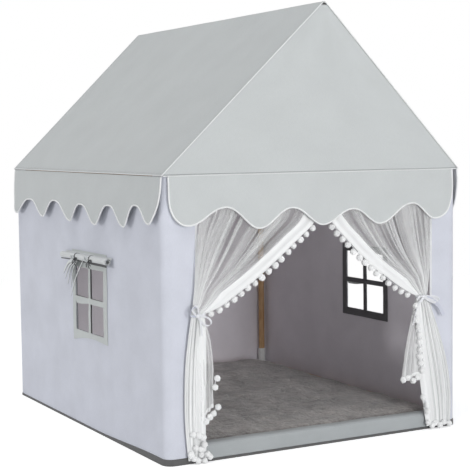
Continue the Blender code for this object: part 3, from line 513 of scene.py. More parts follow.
class Nodes:
    """The nodes of one material or world. An input is a plain value or another node's output."""

    def __init__(self, owner):
        self.owner = owner
        owner.use_nodes = True
        self.nodes = owner.node_tree.nodes
        self.links = owner.node_tree.links
        self.nodes.clear()

    def add(self, kind, inputs=None, **settings):
        node = self.nodes.new(kind)
        for key, value in settings.items():
            setattr(node, key, value)
        for key, value in (inputs or {}).items():
            if isinstance(value, bpy.types.NodeSocket):
                self.links.new(value, node.inputs[key])
            else:
                node.inputs[key].default_value = value
        return node.outputs

    def calc(self, operation, a, b=0.0):
        return self.add("ShaderNodeMath", {0: a, 1: b}, operation=operation)[0]

    def product(self, *values):
        out = values[0]
        for value in values[1:]:
            out = self.calc("MULTIPLY", out, value)
        return out

    def vector_math(self, operation, a, b=None, **more):
        """A vector sum, difference and the like."""
        inputs = {0: a, **more} if b is None else {0: a, 1: b, **more}
        return self.add("ShaderNodeVectorMath", inputs, operation=operation)

    def emission(self, strength):
        return self.add("ShaderNodeEmission", {"Color": (1, 1, 1, 1), "Strength": strength})[0]

    def world_place(self):
        return self.add("ShaderNodeNewGeometry")["Position"]

    def noise(self, vector, size, detail=2.0, roughness=0.5, stretch=None):
        if stretch:
            vector = self.vector_math("MULTIPLY", vector, stretch)[0]
        inputs = {"Vector": vector, "Scale": 1 / size, "Detail": detail, "Roughness": roughness}
        return self.add("ShaderNodeTexNoise", inputs)[0]

    def blend(self, factor, a, b, mode="MIX"):
        inputs = {0: factor, 6: a, 7: b}
        return self.add("ShaderNodeMix", inputs, data_type="RGBA", blend_type=mode)[2]

    def shaded(self, colour, shade):
        """The colour times a shade of grey."""
        grey = self.add("ShaderNodeCombineXYZ", {0: shade, 1: shade, 2: shade})[0]
        return self.blend(1.0, tone(colour, 1), grey, "MULTIPLY")

    def seen(self):
        """1 where the camera looks, directly or through a mirror or glass."""
        ray = self.add("ShaderNodeLightPath")
        mirrored = self.calc("MAXIMUM", ray["Is Glossy Ray"], ray["Is Transmission Ray"])
        return self.calc("MAXIMUM", ray["Is Camera Ray"], mirrored)

    def remap(self, value, low, high, to_low, to_high):
        inputs = {0: value, 1: low, 2: high, 3: to_low, 4: to_high}
        return self.add("ShaderNodeMapRange", inputs)[0]

    def bump(self, height, distance, before=None):
        inputs = {"Height": height, "Distance": distance, "Strength": 1.0}
        if before is not None:
            inputs["Normal"] = before
        return self.add("ShaderNodeBump", inputs)[0]

    def finish(self, **inputs):
        named = {key.replace("_", " "): value for key, value in inputs.items()}
        self.add("ShaderNodeOutputMaterial", {0: self.add("ShaderNodeBsdfPrincipled", named)[0]})
        return self.owner


def tone(colour, factor):
    return tuple(min(1, c * factor) for c in colour[:3]) + (1,)


def weave(n, pitch):
    """Height of a plain weave, 0 between its threads and 1 on top of them."""
    uv = n.add("ShaderNodeTexCoord")["UV"]
    place = n.add("ShaderNodeSeparateXYZ", {0: uv})
    warp, weft = (n.calc("SINE", n.product(place[k], math.pi / pitch)) for k in (0, 1))
    over = n.calc("GREATER_THAN", n.product(warp, weft), 0)
    return uv, n.add("ShaderNodeMix", {0: over, 2: n.calc("ABSOLUTE", warp), 3: n.calc("ABSOLUTE", weft)})[0]


def cloth_material(
    name, colour, pitch=0.0007, depth=0.00012, roughness=0.82, sheen=0.15, cloudy=0.05, crease=0.0006
):
    """Plain woven cloth: threads, slubs, faint cloudiness and soft creases."""
    n = Nodes(bpy.data.materials.new(name))
    uv, threads = weave(n, pitch)
    clouds = n.noise(uv, 0.13, 3.0)
    slubs = n.noise(uv, 0.0016, 2.0, 0.6, (1, 0.12, 1))
    shade = n.product(
        n.remap(clouds, 0.3, 0.7, 1 - cloudy, 1 + cloudy),
        n.remap(slubs, 0.25, 0.75, 0.965, 1.025),
        # Darker between the threads than on them: painted shade
        n.remap(threads, 0, 1, 0.93, 1.02),
    )
    base = n.shaded(colour, shade)
    normal = n.bump(threads, depth)
    creases = n.noise(uv, 0.045, 3.0, 0.45, (1, 0.6, 1))
    normal = n.bump(creases, crease, normal)
    rough = n.remap(slubs, 0.2, 0.8, roughness - 0.06, roughness + 0.06)
    return n.finish(Base_Color=base, Roughness=rough, Normal=normal, Sheen_Weight=sheen, Sheen_Roughness=0.5)


def sheer_material(name, colour):
    """Fine voile. The attribute mark holds how much of the light each point's cloth stops."""
    n = Nodes(bpy.data.materials.new(name))
    uv, threads = weave(n, 0.0012)
    mark = n.add("ShaderNodeAttribute", attribute_name="mark")["Fac"]
    streaks = n.noise(uv, 0.034, 3.0, 0.5, (1, 0.05, 1))
    fine = n.noise(uv, 0.003, 2.0, 0.5, (1, 0.08, 1))
    change = n.calc("ADD", n.remap(streaks, 0.34, 0.66, -1.1, 1.2), n.remap(fine, 0.3, 0.7, -0.18, 0.18))
    change = n.calc("ADD", change, n.remap(threads, 0, 1, -0.08, 0.08))
    alpha = n.calc("ADD", mark, n.product(change, mark, n.calc("SUBTRACT", 1.0, mark)))
    base = n.shaded(colour, n.remap(streaks, 0.3, 0.7, 0.94, 1.0))
    normal = n.bump(threads, 0.00008, n.bump(streaks, 0.0008))
    return n.finish(
        Base_Color=base, Roughness=0.8, Normal=normal, Alpha=alpha, Sheen_Weight=0.2, Sheen_Roughness=0.5
    )


def thread_material(name, colour, roughness=0.7, grain=0.0006, depth=0.0001, sheen=0.2):
    """Twisted yarn or ribbon: fine ribs that run across it."""
    n = Nodes(bpy.data.materials.new(name))
    uv = n.add("ShaderNodeTexCoord")["UV"]
    place = n.add("ShaderNodeSeparateXYZ", {0: uv})
    slant = n.calc("ADD", place[1], n.product(place[0], 0.6))
    ribs = n.calc("ABSOLUTE", n.calc("SINE", n.product(slant, math.pi / grain)))
    fuzz = n.noise(uv, 0.002, 2.0)
    base = n.blend(n.remap(fuzz, 0.3, 0.7, 0, 1), tone(colour, 0.93), tone(colour, 1.04))
    normal = n.bump(ribs, depth)
    return n.finish(Base_Color=base, Roughness=roughness, Normal=normal, Sheen_Weight=sheen)


def yarn_material(name, colour):
    """Fluffy cut yarn."""
    n = Nodes(bpy.data.materials.new(name))
    place = n.world_place()
    fibres = n.noise(place, 0.0011, 3.0, 0.7)
    tufts = n.noise(place, 0.004, 2.0)
    base = n.blend(n.remap(fibres, 0.3, 0.7, 0, 1), tone(colour, 0.9), tone(colour, 1.05))
    normal = n.bump(tufts, 0.0012, n.bump(fibres, 0.0008))
    return n.finish(Base_Color=base, Roughness=0.95, Normal=normal, Sheen_Weight=0.5, Sheen_Roughness=0.6)


def plush_material(name, colour):
    """Deep pile brushed in patches, lighter where its ends catch the light: the patches and tufts are partly
    the pile's own uneven tone and partly painted light and shade.
    """
    n = Nodes(bpy.data.materials.new(name))
    place = n.world_place()
    patches = n.noise(place, 0.085, 4.0, 0.62)
    tufts = n.noise(place, 0.011, 3.0, 0.65, (1, 0.7, 1))
    pile = n.noise(place, 0.0025, 2.0, 0.6)
    # Patches and tufts: partly uneven tone, partly painted light and shade
    shade = n.product(
        n.remap(patches, 0.3, 0.7, 0.6, 1.35),
        n.remap(tufts, 0.3, 0.7, 0.68, 1.28),
        n.remap(pile, 0.25, 0.75, 0.85, 1.12),
    )
    base = n.shaded(colour, shade)
    normal = n.bump(tufts, 0.005, n.bump(pile, 0.0015, n.bump(patches, 0.01)))
    return n.finish(Base_Color=base, Roughness=0.95, Normal=normal, Sheen_Weight=0.5, Sheen_Roughness=0.45)


def wood_material(name, axis):
    """Sanded pine with its grain along the unit vector axis."""
    n = Nodes(bpy.data.materials.new(name))
    place = n.world_place()
    along = n.vector_math("DOT_PRODUCT", place, axis)["Value"]
    part = n.vector_math("SCALE", axis, Scale=along)[0]
    across = n.vector_math("SUBTRACT", place, part)[0]
    grain_place = n.vector_math("ADD", across, n.vector_math("SCALE", part, Scale=0.05)[0])[0]
    rings = n.noise(grain_place, 0.006, 3.0, 0.6)
    fibres = n.noise(grain_place, 0.0012, 2.0, 0.6)
    spots = n.noise(place, 0.05, 2.0)
    base = n.blend(n.remap(rings, 0.35, 0.65, 0, 1), (0.42, 0.23, 0.1, 1), (0.62, 0.4, 0.21, 1))
    base = n.blend(n.remap(fibres, 0.35, 0.7, 0, 0.35), base, (0.3, 0.15, 0.06, 1))
    base = n.blend(n.remap(spots, 0.4, 0.75, 0, 0.3), base, (0.7, 0.49, 0.28, 1))
    normal = n.bump(fibres, 0.0002, n.bump(rings, 0.0002))
    rough = n.remap(rings, 0.3, 0.7, 0.42, 0.58)
    return n.finish(Base_Color=base, Roughness=rough, Normal=normal, Coat_Weight=0.08, Coat_Roughness=0.4)


def plastic_material(name, colour):
    """Moulded satin plastic with a fine grain and faint scuffs."""
    n = Nodes(bpy.data.materials.new(name))
    place = n.world_place()
    grain = n.noise(place, 0.0008, 2.0)
    scuffs = n.noise(place, 0.012, 4.0, 0.7)
    base = n.blend(n.remap(scuffs, 0.5, 0.75, 0, 0.5), tone(colour, 1), tone(colour, 0.9))
    rough = n.remap(scuffs, 0.3, 0.8, 0.34, 0.5)
    return n.finish(Base_Color=base, Roughness=rough, Normal=n.bump(grain, 0.00004), Specular_IOR_Level=0.5)


def floor_material(name):
    """Pale floor that looks white to the camera and keeps the shadow."""
    n = Nodes(bpy.data.materials.new(name))
    seen, place = n.seen(), n.world_place()
    base = n.blend(n.noise(place, 0.02, 3.0), (0.86, 0.86, 0.86, 1), (0.9, 0.9, 0.9, 1))
    far = n.remap(n.vector_math("LENGTH", place)["Value"], 1.6, 4.5, 0, 1)
    plain = n.add("ShaderNodeBsdfDiffuse", {"Color": base})[0]
    lit = n.add("ShaderNodeAddShader", {0: plain, 1: n.emission(n.product(seen, 0.54))})[0]
    both = n.add("ShaderNodeMixShader", {0: n.product(seen, far), 1: lit, 2: n.emission(1.0)})[0]
    n.add("ShaderNodeOutputMaterial", {0: both})
    return n.owner


roof_cloth = cloth_material("roof_cloth", (0.575, 0.6, 0.6), cloudy=0.025, crease=0.0003)
roof_inside = cloth_material("roof_cloth_inside", (0.66, 0.67, 0.67))
wall_cloth = cloth_material("wall_cloth", (0.67, 0.69, 0.765))
# The inside of the wall cloth is lighter and warmer than its outside: painted light, for the light that comes
# through the cloth and bounces round inside the tent
wall_inside_painted_light = cloth_material("wall_cloth_inside_painted_light", (0.77, 0.735, 0.785))
piping = cloth_material("piping_cloth", (0.87, 0.88, 0.88), 0.0006)
light_thread = thread_material("light_thread", (0.62, 0.64, 0.65))
# Dark thread for stitches, and for the painted shadow line above each gable's welt
dark_thread_and_painted_shade = thread_material("dark_thread_and_painted_shade", (0.24, 0.25, 0.26))
binding_cloth = cloth_material("binding_cloth", (0.58, 0.61, 0.6))
# Near black for the window's inner frame: painted shade, for the light that its doubled cloth holds back
painted_shade_lining_cloth = cloth_material("painted_shade_lining_cloth", (0.11, 0.107, 0.115))
blind_cloth = cloth_material("blind_cloth", (0.7, 0.72, 0.72))
# Near black for the blind's hem: painted shade under the roll
blind_hem_painted_shade = cloth_material("blind_hem_painted_shade_cloth", (0.055, 0.057, 0.06))
# Dark grey for the bows, and for the painted shade beside the loose strands
grey_ribbon = thread_material("grey_ribbon", (0.06, 0.063, 0.066), 0.5)
pale_ribbon = thread_material("pale_ribbon", (0.72, 0.75, 0.75), 0.5)
white_ribbon = thread_material("white_ribbon", (0.8, 0.81, 0.84), 0.45)
# Lavender grey copies of the white tie ribbon: painted shade on some loops and tails, and a darker painted
# shade along a tail's edge
ribbon_in_painted_shade = thread_material("ribbon_in_painted_shade", (0.6, 0.62, 0.71), 0.45)
ribbon_in_deeper_painted_shade = thread_material("ribbon_in_deeper_painted_shade", (0.22, 0.23, 0.3), 0.45)
sheer = sheer_material("sheer_voile", (0.97, 0.98, 0.98))
yarn = yarn_material("pompom_yarn", (0.96, 0.97, 0.97))
ground_cloth = cloth_material("ground_cloth", (0.11, 0.11, 0.11), 0.0009, 0.0002)
sill_cloth = cloth_material("sill_cloth", (0.41, 0.435, 0.445))
plush = plush_material("plush", (0.31, 0.287, 0.273))
white_binding = cloth_material("white_binding", (0.8, 0.81, 0.83), 0.0006)


# Floor, walls and roof


def hem_sag(y):
    """How much lower than at the front the wall's hem meets the ground sheet's rim."""
    return 0.0125 * smooth(-0.58, -0.12, y)


def wall_ripple(wall_number, a, z):
    """How far the wall cloth stands out from its plane, slack between its seams."""
    seed = 10 * wall_number
    mask = smooth(0.05, 0.17, z) * (1 - smooth(0.7, 0.82, z)) * (1 - smooth(0.42, 0.58, np.abs(a)))
    swell = -0.0012 + 0.0013 * noise(seed, 0.19, a, z) + 0.0005 * noise(seed + 1, 0.06, a, z * 0.6)
    return mask * swell


def make_walls():
    """One cloth from door edge to door edge round the rounded corners, with its two window holes."""
    holes = {side: [middle - half_hole, middle + half_hole] for side, middle in window_middles.items()}
    inner_x, inner_y = half_width - corner_radius, half_depth - corner_radius
    turns = np.linspace(0, math.pi / 2, 9)[1:-1]

    def corner(cx, cy, start):
        ways = [(math.cos(start - turn), math.sin(start - turn)) for turn in turns]
        return [(cx + corner_radius * c, cy + corner_radius * s, c, s, 0, 0) for c, s in ways]

    # Seen from above: place, way out, number of the wall, and place along it
    plan = [(x, -half_depth, 0, -1, 0, 0) for x in np.linspace(-half_door, -inner_x, 9)]
    plan += corner(-inner_x, -inner_y, 1.5 * math.pi)
    plan += [(-half_width, y, -1, 0, 1, y) for y in lines(-inner_y, inner_y, cloth_step, holes[-1])]
    plan += corner(-inner_x, inner_y, math.pi)
    plan += [(x, half_depth, 0, 1, 2, x) for x in lines(-inner_x, inner_x, 0.0125)]
    plan += corner(inner_x, inner_y, math.pi / 2)
    plan += [(half_width, y, 1, 0, 3, y) for y in lines(-inner_y, inner_y, cloth_step, holes[1])[::-1]]
    plan += corner(inner_x, -inner_y, 0)
    plan += [(x, -half_depth, 0, -1, 0, 0) for x in np.linspace(inner_x, half_door, 9)]
    x, y, way_x, way_y, number, a = np.array(plan).T
    z = lines(wall_bottom, wall_top, cloth_step, (hole_bottom, hole_top))
    out = np.zeros((len(z), len(plan)))
    for wall_number in (1, 2, 3):
        chosen = number == wall_number
        out[:, chosen] = wall_ripple(wall_number, a[chosen][None], z[:, None])
    sag = hem_sag(y)[None] * (1 - smooth(0, 0.09, z - wall_bottom))[:, None]
    face = xyz(x + out * way_x, y + out * way_y, z[:, None] - sag)
    mid_z = (z[1:] + z[:-1]) / 2
    mid_a = (a[1:] + a[:-1]) / 2
    keep = np.ones((len(z) - 1, len(plan) - 1), bool)
    for side, wall_number in wall_numbers.items():
        span = (number[1:] == wall_number) & (number[:-1] == wall_number)
        inside = span & (mid_a > holes[side][0]) & (mid_a < holes[side][1])
        keep &= ~(inside[None] & ((mid_z > hole_bottom) & (mid_z < hole_top))[:, None])
    skin = Skin()
    skin.sheet(face, wall_thickness, -1, keep)
    walls = skin.make("wall_cloth", [wall_cloth, wall_inside_painted_light])
    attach(walls, "tent")
    names = ["left_wall", "right_wall", "rear_wall", "front_strip_left", "front_strip_right"]
    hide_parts(*names)
    return walls


def make_door_bindings():
    """The white tape that edges each side of the door."""
    for side, word in side_names.items():
        skin = Skin()
        z = np.linspace(0.022, wall_top - 0.003, 90)
        x = side * (half_door + 0.0025) + 0.0006 * noise(40 + side, 0.09, z, 0)
        path = xyz(x, -half_depth + 0.0005, z)
        skin.ribbon(path, (1, 0, 0), 0.0085, 0.0026)
        skin.stitches(path + (side * 0.0024, -0.0013, 0), (0, -1, 0), 1)
        tape = skin.make(f"door_binding_{word}", [white_binding, light_thread])
        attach(tape, "tent")
        yield tape


def slope_z(x):
    """Height of the roof's outside at a distance from the ridge."""
    return ridge_height - rise / eave_x * np.sqrt(x * x + ridge_round**2)


def reach(z):
    """Distance from the tent's middle to the roof's ends, which lean out, at a height."""
    return half_depth + gable_lip + ridge_lean * (z - eave_height) / rise


def make_roof():
    """One cloth over the ridge from eave to eave, with a raised hem along each gable."""
    near = [0.0, 0.0015, 0.003, 0.006, 0.012]
    half = np.unique(np.concatenate([near, lines(near[-1], eave_x, cloth_step)]))
    x = np.concatenate([-half[::-1], half[1:]])
    hem = np.array([0.0, 0.0012, rake_hem - 0.0012, rake_hem]) / half_depth
    v = np.concatenate([-1 + hem, lines(-1 + hem[-1] * 1.6, 1 - hem[-1] * 1.6, 0.019), (1 - hem)[::-1]])
    z = slope_z(x)
    f = np.abs(x) / eave_x
    sag = roof_sag * (4 * f * (1 - f))[None] * (1 - v**4)[:, None]
    uneven = 0.0009 * noise(3, 0.17, x[None] * 1.4, v[:, None] * half_depth)
    sag = sag - uneven * np.minimum(1, 6 * (1 - f))[None] * (1 - v**8)[:, None]
    hem_width = hem[-1]
    proud = 0.0008 * (1 - smooth(hem_width - 0.0014 / half_depth, hem_width, 1 - np.abs(v)))[:, None]
    out = proud - sag
    face = xyz(x + np.sign(x) * normal_x * out, v[:, None] * reach(z)[None], z + normal_z * out)
    skin = Skin()
    skin.sheet(face, roof_thickness)
    for end in end_names:
        for inset, lift, slot in ((0.0025, 0.0009, 2), (rake_hem + 0.0008, 0.0001, 3)):
            for side in side_names:
                xs = np.linspace(0.012, eave_x - 0.006, 160)
                zs = slope_z(xs)
                normal = np.array([side * normal_x, 0, normal_z])
                skin.stitches(xyz(side * xs, end * (reach(zs) - inset), zs) + normal * lift, normal, slot)
    for side in side_names:
        for inset in (0.006, 0.0095):
            x_at = eave_x - inset * normal_z
            ys = np.linspace(-half_depth + 0.01, half_depth - 0.01, 200)
            normal = np.array([side * normal_x, 0, normal_z])
            skin.stitches(xyz(side * x_at, ys, slope_z(x_at)) + normal * 0.0003, normal, 3)
    roof = skin.make("roof_cloth", [roof_cloth, roof_inside, light_thread, dark_thread_and_painted_shade])
    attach(roof, "tent")
    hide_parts("roof_slope_left", "roof_slope_right")
    for end, word in end_names.items():
        make_gable(end, word)
    list(make_welts())


def make_gable(end, word):
    """The triangle of cloth between the slopes, just under their ends."""
    rows = np.concatenate([np.linspace(0, 0.97, 46), [0.985]])
    q = np.linspace(-1, 1, 91)
    inset = roof_thickness + 0.0008
    apex = ridge_height - inset / normal_z - 0.0022
    z = mix(gable_bottom, apex, rows)
    spread = eave_x + (-inset - (z - eave_height) * normal_z) / normal_x
    x = q[None] * spread[:, None]
    sag = 0.0026 * (1 - q**4)[None] * (4 * rows * (1 - rows))[:, None]
    uneven = 0.0006 * noise(70 + end, 0.15, x, z[:, None])
    sag = sag + uneven * (1 - q**6)[None] * np.minimum(1, 8 * rows)[:, None]
    y = half_depth + ridge_lean * (z - gable_bottom) / rise
    skin = Skin()
    skin.sheet(xyz(x, end * (y[:, None] - sag), z[:, None]), roof_thickness, -end)
    gable = skin.make(f"gable_cloth_{word}", [roof_cloth, roof_inside])
    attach(gable, "tent")
    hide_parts(f"gable_{word}")


def make_welts():
    """The thin piped seams along the rakes and the eaves."""
    for end, word in end_names.items():
        skin = Skin()
        for side in side_names:
            xs = np.linspace(0.0, eave_x, 140)
            zs = slope_z(xs)
            skin.tube(xyz(side * xs, end * (reach(zs) - 0.0002), zs - welt_radius), welt_radius)
        xs = np.linspace(-eave_x + 0.006, eave_x - 0.006, 180)
        y = end * (half_depth + 0.0004)
        zs = gable_bottom + 0.0003 * noise(5, 0.1, xs, 0)
        skin.tube(xyz(xs, y, zs + 0.0006), 0.0015)
        # A fine dark cord just above the gable's welt: a painted shadow line
        skin.tube(xyz(xs, y + end * 0.0004, zs + 0.0045), 0.0007, 6, slot=1)
        welt = skin.make(f"roof_welt_{word}", [piping, dark_thread_and_painted_shade])
        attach(welt, "tent")
        yield welt
    for side, word in side_names.items():
        skin = Skin()
        ys = np.linspace(-half_depth - 0.001, half_depth + 0.001, 200)
        zs = eave_height + 0.0001 + 0.0003 * noise(6, 0.1, ys, 0)
        skin.tube(xyz(side * (eave_x - 0.0004), ys, zs), welt_radius)
        welt = skin.make(f"eave_welt_{word}", [piping])
        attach(welt, "tent")
        yield welt


def make_ground_cloth():
    """The ground sheet with its turned-up rim, which is lower at the door."""
    proud, bottom, top_of_floor, step = 0.002, 0.0002, 0.006, 0.008
    half_x, half_y = half_width + proud, half_depth + proud
    path = spaced(rounded_loop(half_x, half_y, corner_radius + proud, 10), step)[0][:-1]
    x, y = path[:, 0], path[:, 1]
    top = rim_height - hem_sag(y) + 0.0007 * noise(8, 0.07, x, y)
    top = np.where((np.abs(x) < half_door) & (y < 0), door_rim_height, top)
    inner = path * (1 - np.array([0.0034 / half_x, 0.0034 / half_y, 0]))
    rings = [
        path + (0, 0, bottom),
        path * 1.0004 + np.array([0, 0, 0.004]),
        path + xyz(0, 0, top - 0.0006),
        mix(path, inner, 0.5) + xyz(0, 0, top),
        inner + xyz(0, 0, top - 0.0008),
        inner + (0, 0, top_of_floor),
    ]
    count = len(path)
    index, after, quads = ring_faces(len(rings), count)
    uvs = np.stack(np.meshgrid(np.arange(count) * step, np.arange(len(rings)) * 0.006), axis=-1)
    points = np.concatenate([*rings, [[0, 0, bottom], [0, 0, top_of_floor]]])
    uvs = np.concatenate([uvs.reshape(-1, 2), [[0, 0], [0, 0]]])
    foot = np.stack([after[0], index[0], np.full(count, index.size)], axis=1)
    cover = np.stack([index[-1], after[-1], np.full(count, index.size + 1)], axis=1)
    skin = Skin()
    skin.add(points, [quads, foot, cover], uvs)
    sheet = skin.make("ground_cloth", [ground_cloth])
    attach(sheet, "tent")
    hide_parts("ground_sheet", "ground_rim")


def make_sill_cloth():
    """The cloth sleeve of the sill, open at its foot."""
    low, high = 0.0085, 0.056
    front, back = -half_depth - 0.0002, -half_depth + 0.046
    corner = 0.013
    arc = np.linspace(0, math.pi / 2, 7)
    outline = [(front, low)] + [(front, z) for z in np.linspace(low, high - corner, 6)[1:-1]]
    outline += [(front + corner * (1 - math.cos(a)), high - corner * (1 - math.sin(a))) for a in arc]
    outline += [(mix(front + corner, back - corner, s), high) for s in (0.33, 0.66)]
    outline += [(back - corner * (1 - math.sin(a)), high - corner * (1 - math.cos(a))) for a in arc]
    outline += [(back, z) for z in (0.03, 0.02, 0.0065)]
    y, z = np.array(outline).T[:, :, None]
    x = np.linspace(-half_door + 0.0004, half_door - 0.0004, 150)[None]
    level = np.clip((z - low) / (high - low), 0, 1)
    dent = 0.0007 * noise(22, 0.05, x, z) * np.sin(level * math.pi)
    face = xyz(x, y - dent, z + noise(21, 0.11, x, z * 2) * 0.0011 * level)
    skin = Skin()
    skin.sheet(face, sill_thickness, slots=one_cloth)
    skin.stitches(face[-17] - (0, 0.0004, 0), (0, -0.7, 0.7), 1)
    sill = skin.make("sill_cloth", [sill_cloth, light_thread])
    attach(sill, "tent")
    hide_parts("door_sill")


def puff_up(obj, voxel, cap, room):
    """Fills a closed pad by cloth simulation, no point moving further than cap or out of its room."""
    remesh = obj.modifiers.new("remesh", "REMESH")
    remesh.mode = "VOXEL"
    remesh.voxel_size = voxel
    materials = list(obj.data.materials)

    def settled():
        graph = bpy.context.evaluated_depsgraph_get()
        return bpy.data.meshes.new_from_object(obj.evaluated_get(graph))

    obj.data = settled()
    obj.modifiers.clear()
    start = mesh_points(obj.data)
    sim = obj.modifiers.new("cloth", "CLOTH")
    sim.settings.use_pressure = True
    sim.settings.uniform_pressure_force = 4
    sim.settings.effector_weights.gravity = 0
    scene = bpy.context.scene
    for frame_number in range(1, 21):
        scene.frame_set(frame_number)
    step = mesh_points(settled()) - start
    obj.modifiers.clear()
    scene.frame_set(1)
    length = np.linalg.norm(step, axis=1, keepdims=True)
    end = start + step * np.minimum(1, cap / np.maximum(length, 1e-9))
    end = np.clip(end, room[0], room[1])
    obj.data.vertices.foreach_set("co", end.reshape(-1))
    finer = obj.modifiers.new("finer", "SUBSURF")
    finer.levels = finer.render_levels = 1
    obj.data = settled()
    obj.modifiers.clear()
    obj.data.materials.clear()
    for material in materials:
        obj.data.materials.append(material)
    obj.data.polygons.foreach_set("use_smooth", [True] * len(obj.data.polygons))


def make_mat():
    """The padded plush mat, with a soft rolled edge and a rumpled top."""
    half_x = 0.5007
    front, rear = -0.5957, 0.6028
    middle, half_y = (front + rear) / 2, (rear - front) / 2
    bottom, thick, crown = 0.0063, 0.045, 0.004
    corner = 0.03

    # Inset and share of the thickness of each ring up the edge and over the top
    edge = [(0.012, 0.0), (0.003, 0.1), (0.0, 0.3), (0.0, 0.55), (0.002, 0.74), (0.007, 0.88), (0.015, 0.96)]
    top = [(inset, 1.0) for inset in (0.026, 0.04, *np.arange(0.055, half_x - 0.02, 0.016))]
    rings = []
    for inset, share in edge + top:
        path = rounded_loop(half_x - inset, half_y - inset, max(corner - inset * 0.5, 0.008), 8)
        places = np.linspace(0, lengths_along(path)[-1], 400, endpoint=False)
        raised = crown * smooth(0.0, 0.2, inset) if share == 1 else 0
        rings.append(at_lengths(path, places) + (0, middle, bottom + thick * share + raised))
    grid = np.stack(rings)
    index, _, quads = ring_faces(*grid.shape[:2])
    skin = Skin()
    faces = [quads, index[0][::-1][None], index[-1][None]]
    skin.add(grid, faces, grid[..., :2].reshape(-1, 2))
    mat = skin.make("plush_mat", [plush], 80)
    puff_up(mat, 0.012, 0.006, ((-half_x, front, bottom), (half_x, rear, 0.0625)))
    mesh = mat.data
    points = mesh_points(mesh)
    x, y = points[:, 0], points[:, 1]
    rumple = 0.0026 * noise(31, 0.16, x, y) + 0.0034 * noise(32, 0.06, x, y) + 0.0018 * noise(33, 0.022, x, y)
    level = smooth(0.5, 0.95, (points[:, 2] - bottom) / thick)
    points[:, 2] += rumple * level
    mesh.vertices.foreach_set("co", points.reshape(-1))
    mesh.update()
    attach(mat, "tent")
    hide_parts("floor_mat")


# Valances


def valance_shape(a, scallops, ends, point):
    """Drop of the scalloped edge at each place, and 1 at a crest down to -1 at a lobe."""
    places, drops = np.array(scallops).T
    i = np.clip(np.searchsorted(places, a) - 1, 0, len(places) - 2)
    t = 0.5 - 0.5 * np.cos(math.pi * np.clip((a - places[i]) / (places[i + 1] - places[i]), 0, 1))
    lobe = i % 2 == 0
    share = np.where(lobe, 1 - t, t) ** point
    drop = mix(np.where(lobe, drops[i + 1], drops[i]), np.where(lobe, drops[i], drops[i + 1]), share)
    for (end, start_drop, power), k in zip(ends, (0, -1)):
        t = np.clip((a - places[k]) / (end - places[k]), 0, 1)
        drop = np.where(t > 0, mix(start_drop, drops[k], (1 - t**power) ** (1 / power)), drop)
    return drop, np.interp(a, places, [-1 if k % 2 == 0 else 1 for k in range(len(places))])


def make_valance(word, wall_reach, scallops, ends, point, to_world, outward):
    """One flap. a runs along the eave, and to_world takes a, distance out and height."""
    (low, _, _), (high, _, _) = ends
    first, last = scallops[0][0], scallops[-1][0]
    curve = np.sin(np.linspace(0, math.pi / 2, 16))
    between = lines(first, last, 0.0042)[1:-1]
    a = np.concatenate([mix(first, low, curve)[::-1], between, mix(last, high, curve)])
    edge_drop, wave = valance_shape(a, scallops, ends, point)
    drop = edge_drop[None] * np.linspace(0, 1, 27)[:, None]
    hang = drop / deepest_lobe
    from_end = np.minimum(a - low, high - a)
    curl = -end_curl * (1 - smooth(0, end_curl_width, from_end))[None]
    crinkle = 0.0009 * noise(len(word) * 7, 0.05, a[None], drop) * hang
    out = wall_reach + valance_out + drop * lean + curl * hang + ripple * wave[None] * hang * hang + crinkle
    z = valance_z + cloth / 2 - drop
    a_grid = np.broadcast_to(a[None], out.shape)
    face = to_world(a_grid, out + 0.0008, z)
    skin = Skin()
    skin.sheet(face, roof_thickness, outward, uv=np.stack([a_grid, drop], axis=-1))
    normal = unit(np.cross(np.gradient(face, axis=1), np.gradient(face, axis=0))) * outward
    inward = face - normal * 0.0006
    edge = np.concatenate([inward[:, 0][1:], inward[-1][1:-1], inward[:, -1][1:][::-1]])
    edge_path, _ = spaced(edge, 0.0035)
    skin.tube(edge_path, piping_radius, 8, slot=2)
    skin.stitches((face[-2] + normal[-2] * 0.0003)[8:-8], normal[-2][8:-8].mean(axis=0), 3)
    valance = skin.make(f"valance_cloth_{word}", [roof_cloth, roof_inside, piping, light_thread])
    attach(valance, f"valance_{word}_flap")
    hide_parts(f"valance_{word}")


def make_valances():
    for side, word in side_names.items():
        placed = lambda a, out, z: xyz(side * out, a, z)
        make_valance(word, half_width, side_scallops, side_ends, side_point, placed, -side)
    for end, word in end_names.items():
        placed = lambda a, out, z: xyz(a, end * out, z)
        make_valance(word, half_depth, end_scallops, end_ends, end_point, placed, end)


# Windows and blinds


def frame_drift(side, a):
    """How much the foot of a window's binding wanders up or down along its length."""
    share = np.clip((a - window_middles[side]) / 0.145, -1, 1)
    return 0.0125 * np.cos(share * 1.5) - 0.003 - 0.0075 * share


def window_grid(border, top_border, step):
    """Lines across and up a window's border and bars, and the cells between them that are cloth."""
    bar_edges = (window_middle_z - half_bar, window_middle_z + half_bar)
    a = lines(-half_hole - border, half_hole + border, step, (-half_hole, -half_bar, half_bar, half_hole))
    z = lines(hole_bottom - border, hole_top + top_border, step, (hole_bottom, *bar_edges, hole_top))
    mid_a, mid_z = (a[1:] + a[:-1]) / 2, (z[1:] + z[:-1]) / 2
    open_a = (np.abs(mid_a) < half_hole) & (np.abs(mid_a) > half_bar)
    open_z = (mid_z > hole_bottom) & (mid_z < hole_top) & (np.abs(mid_z - window_middle_z) > half_bar)
    return a, z, ~(open_a[None] & open_z[:, None])


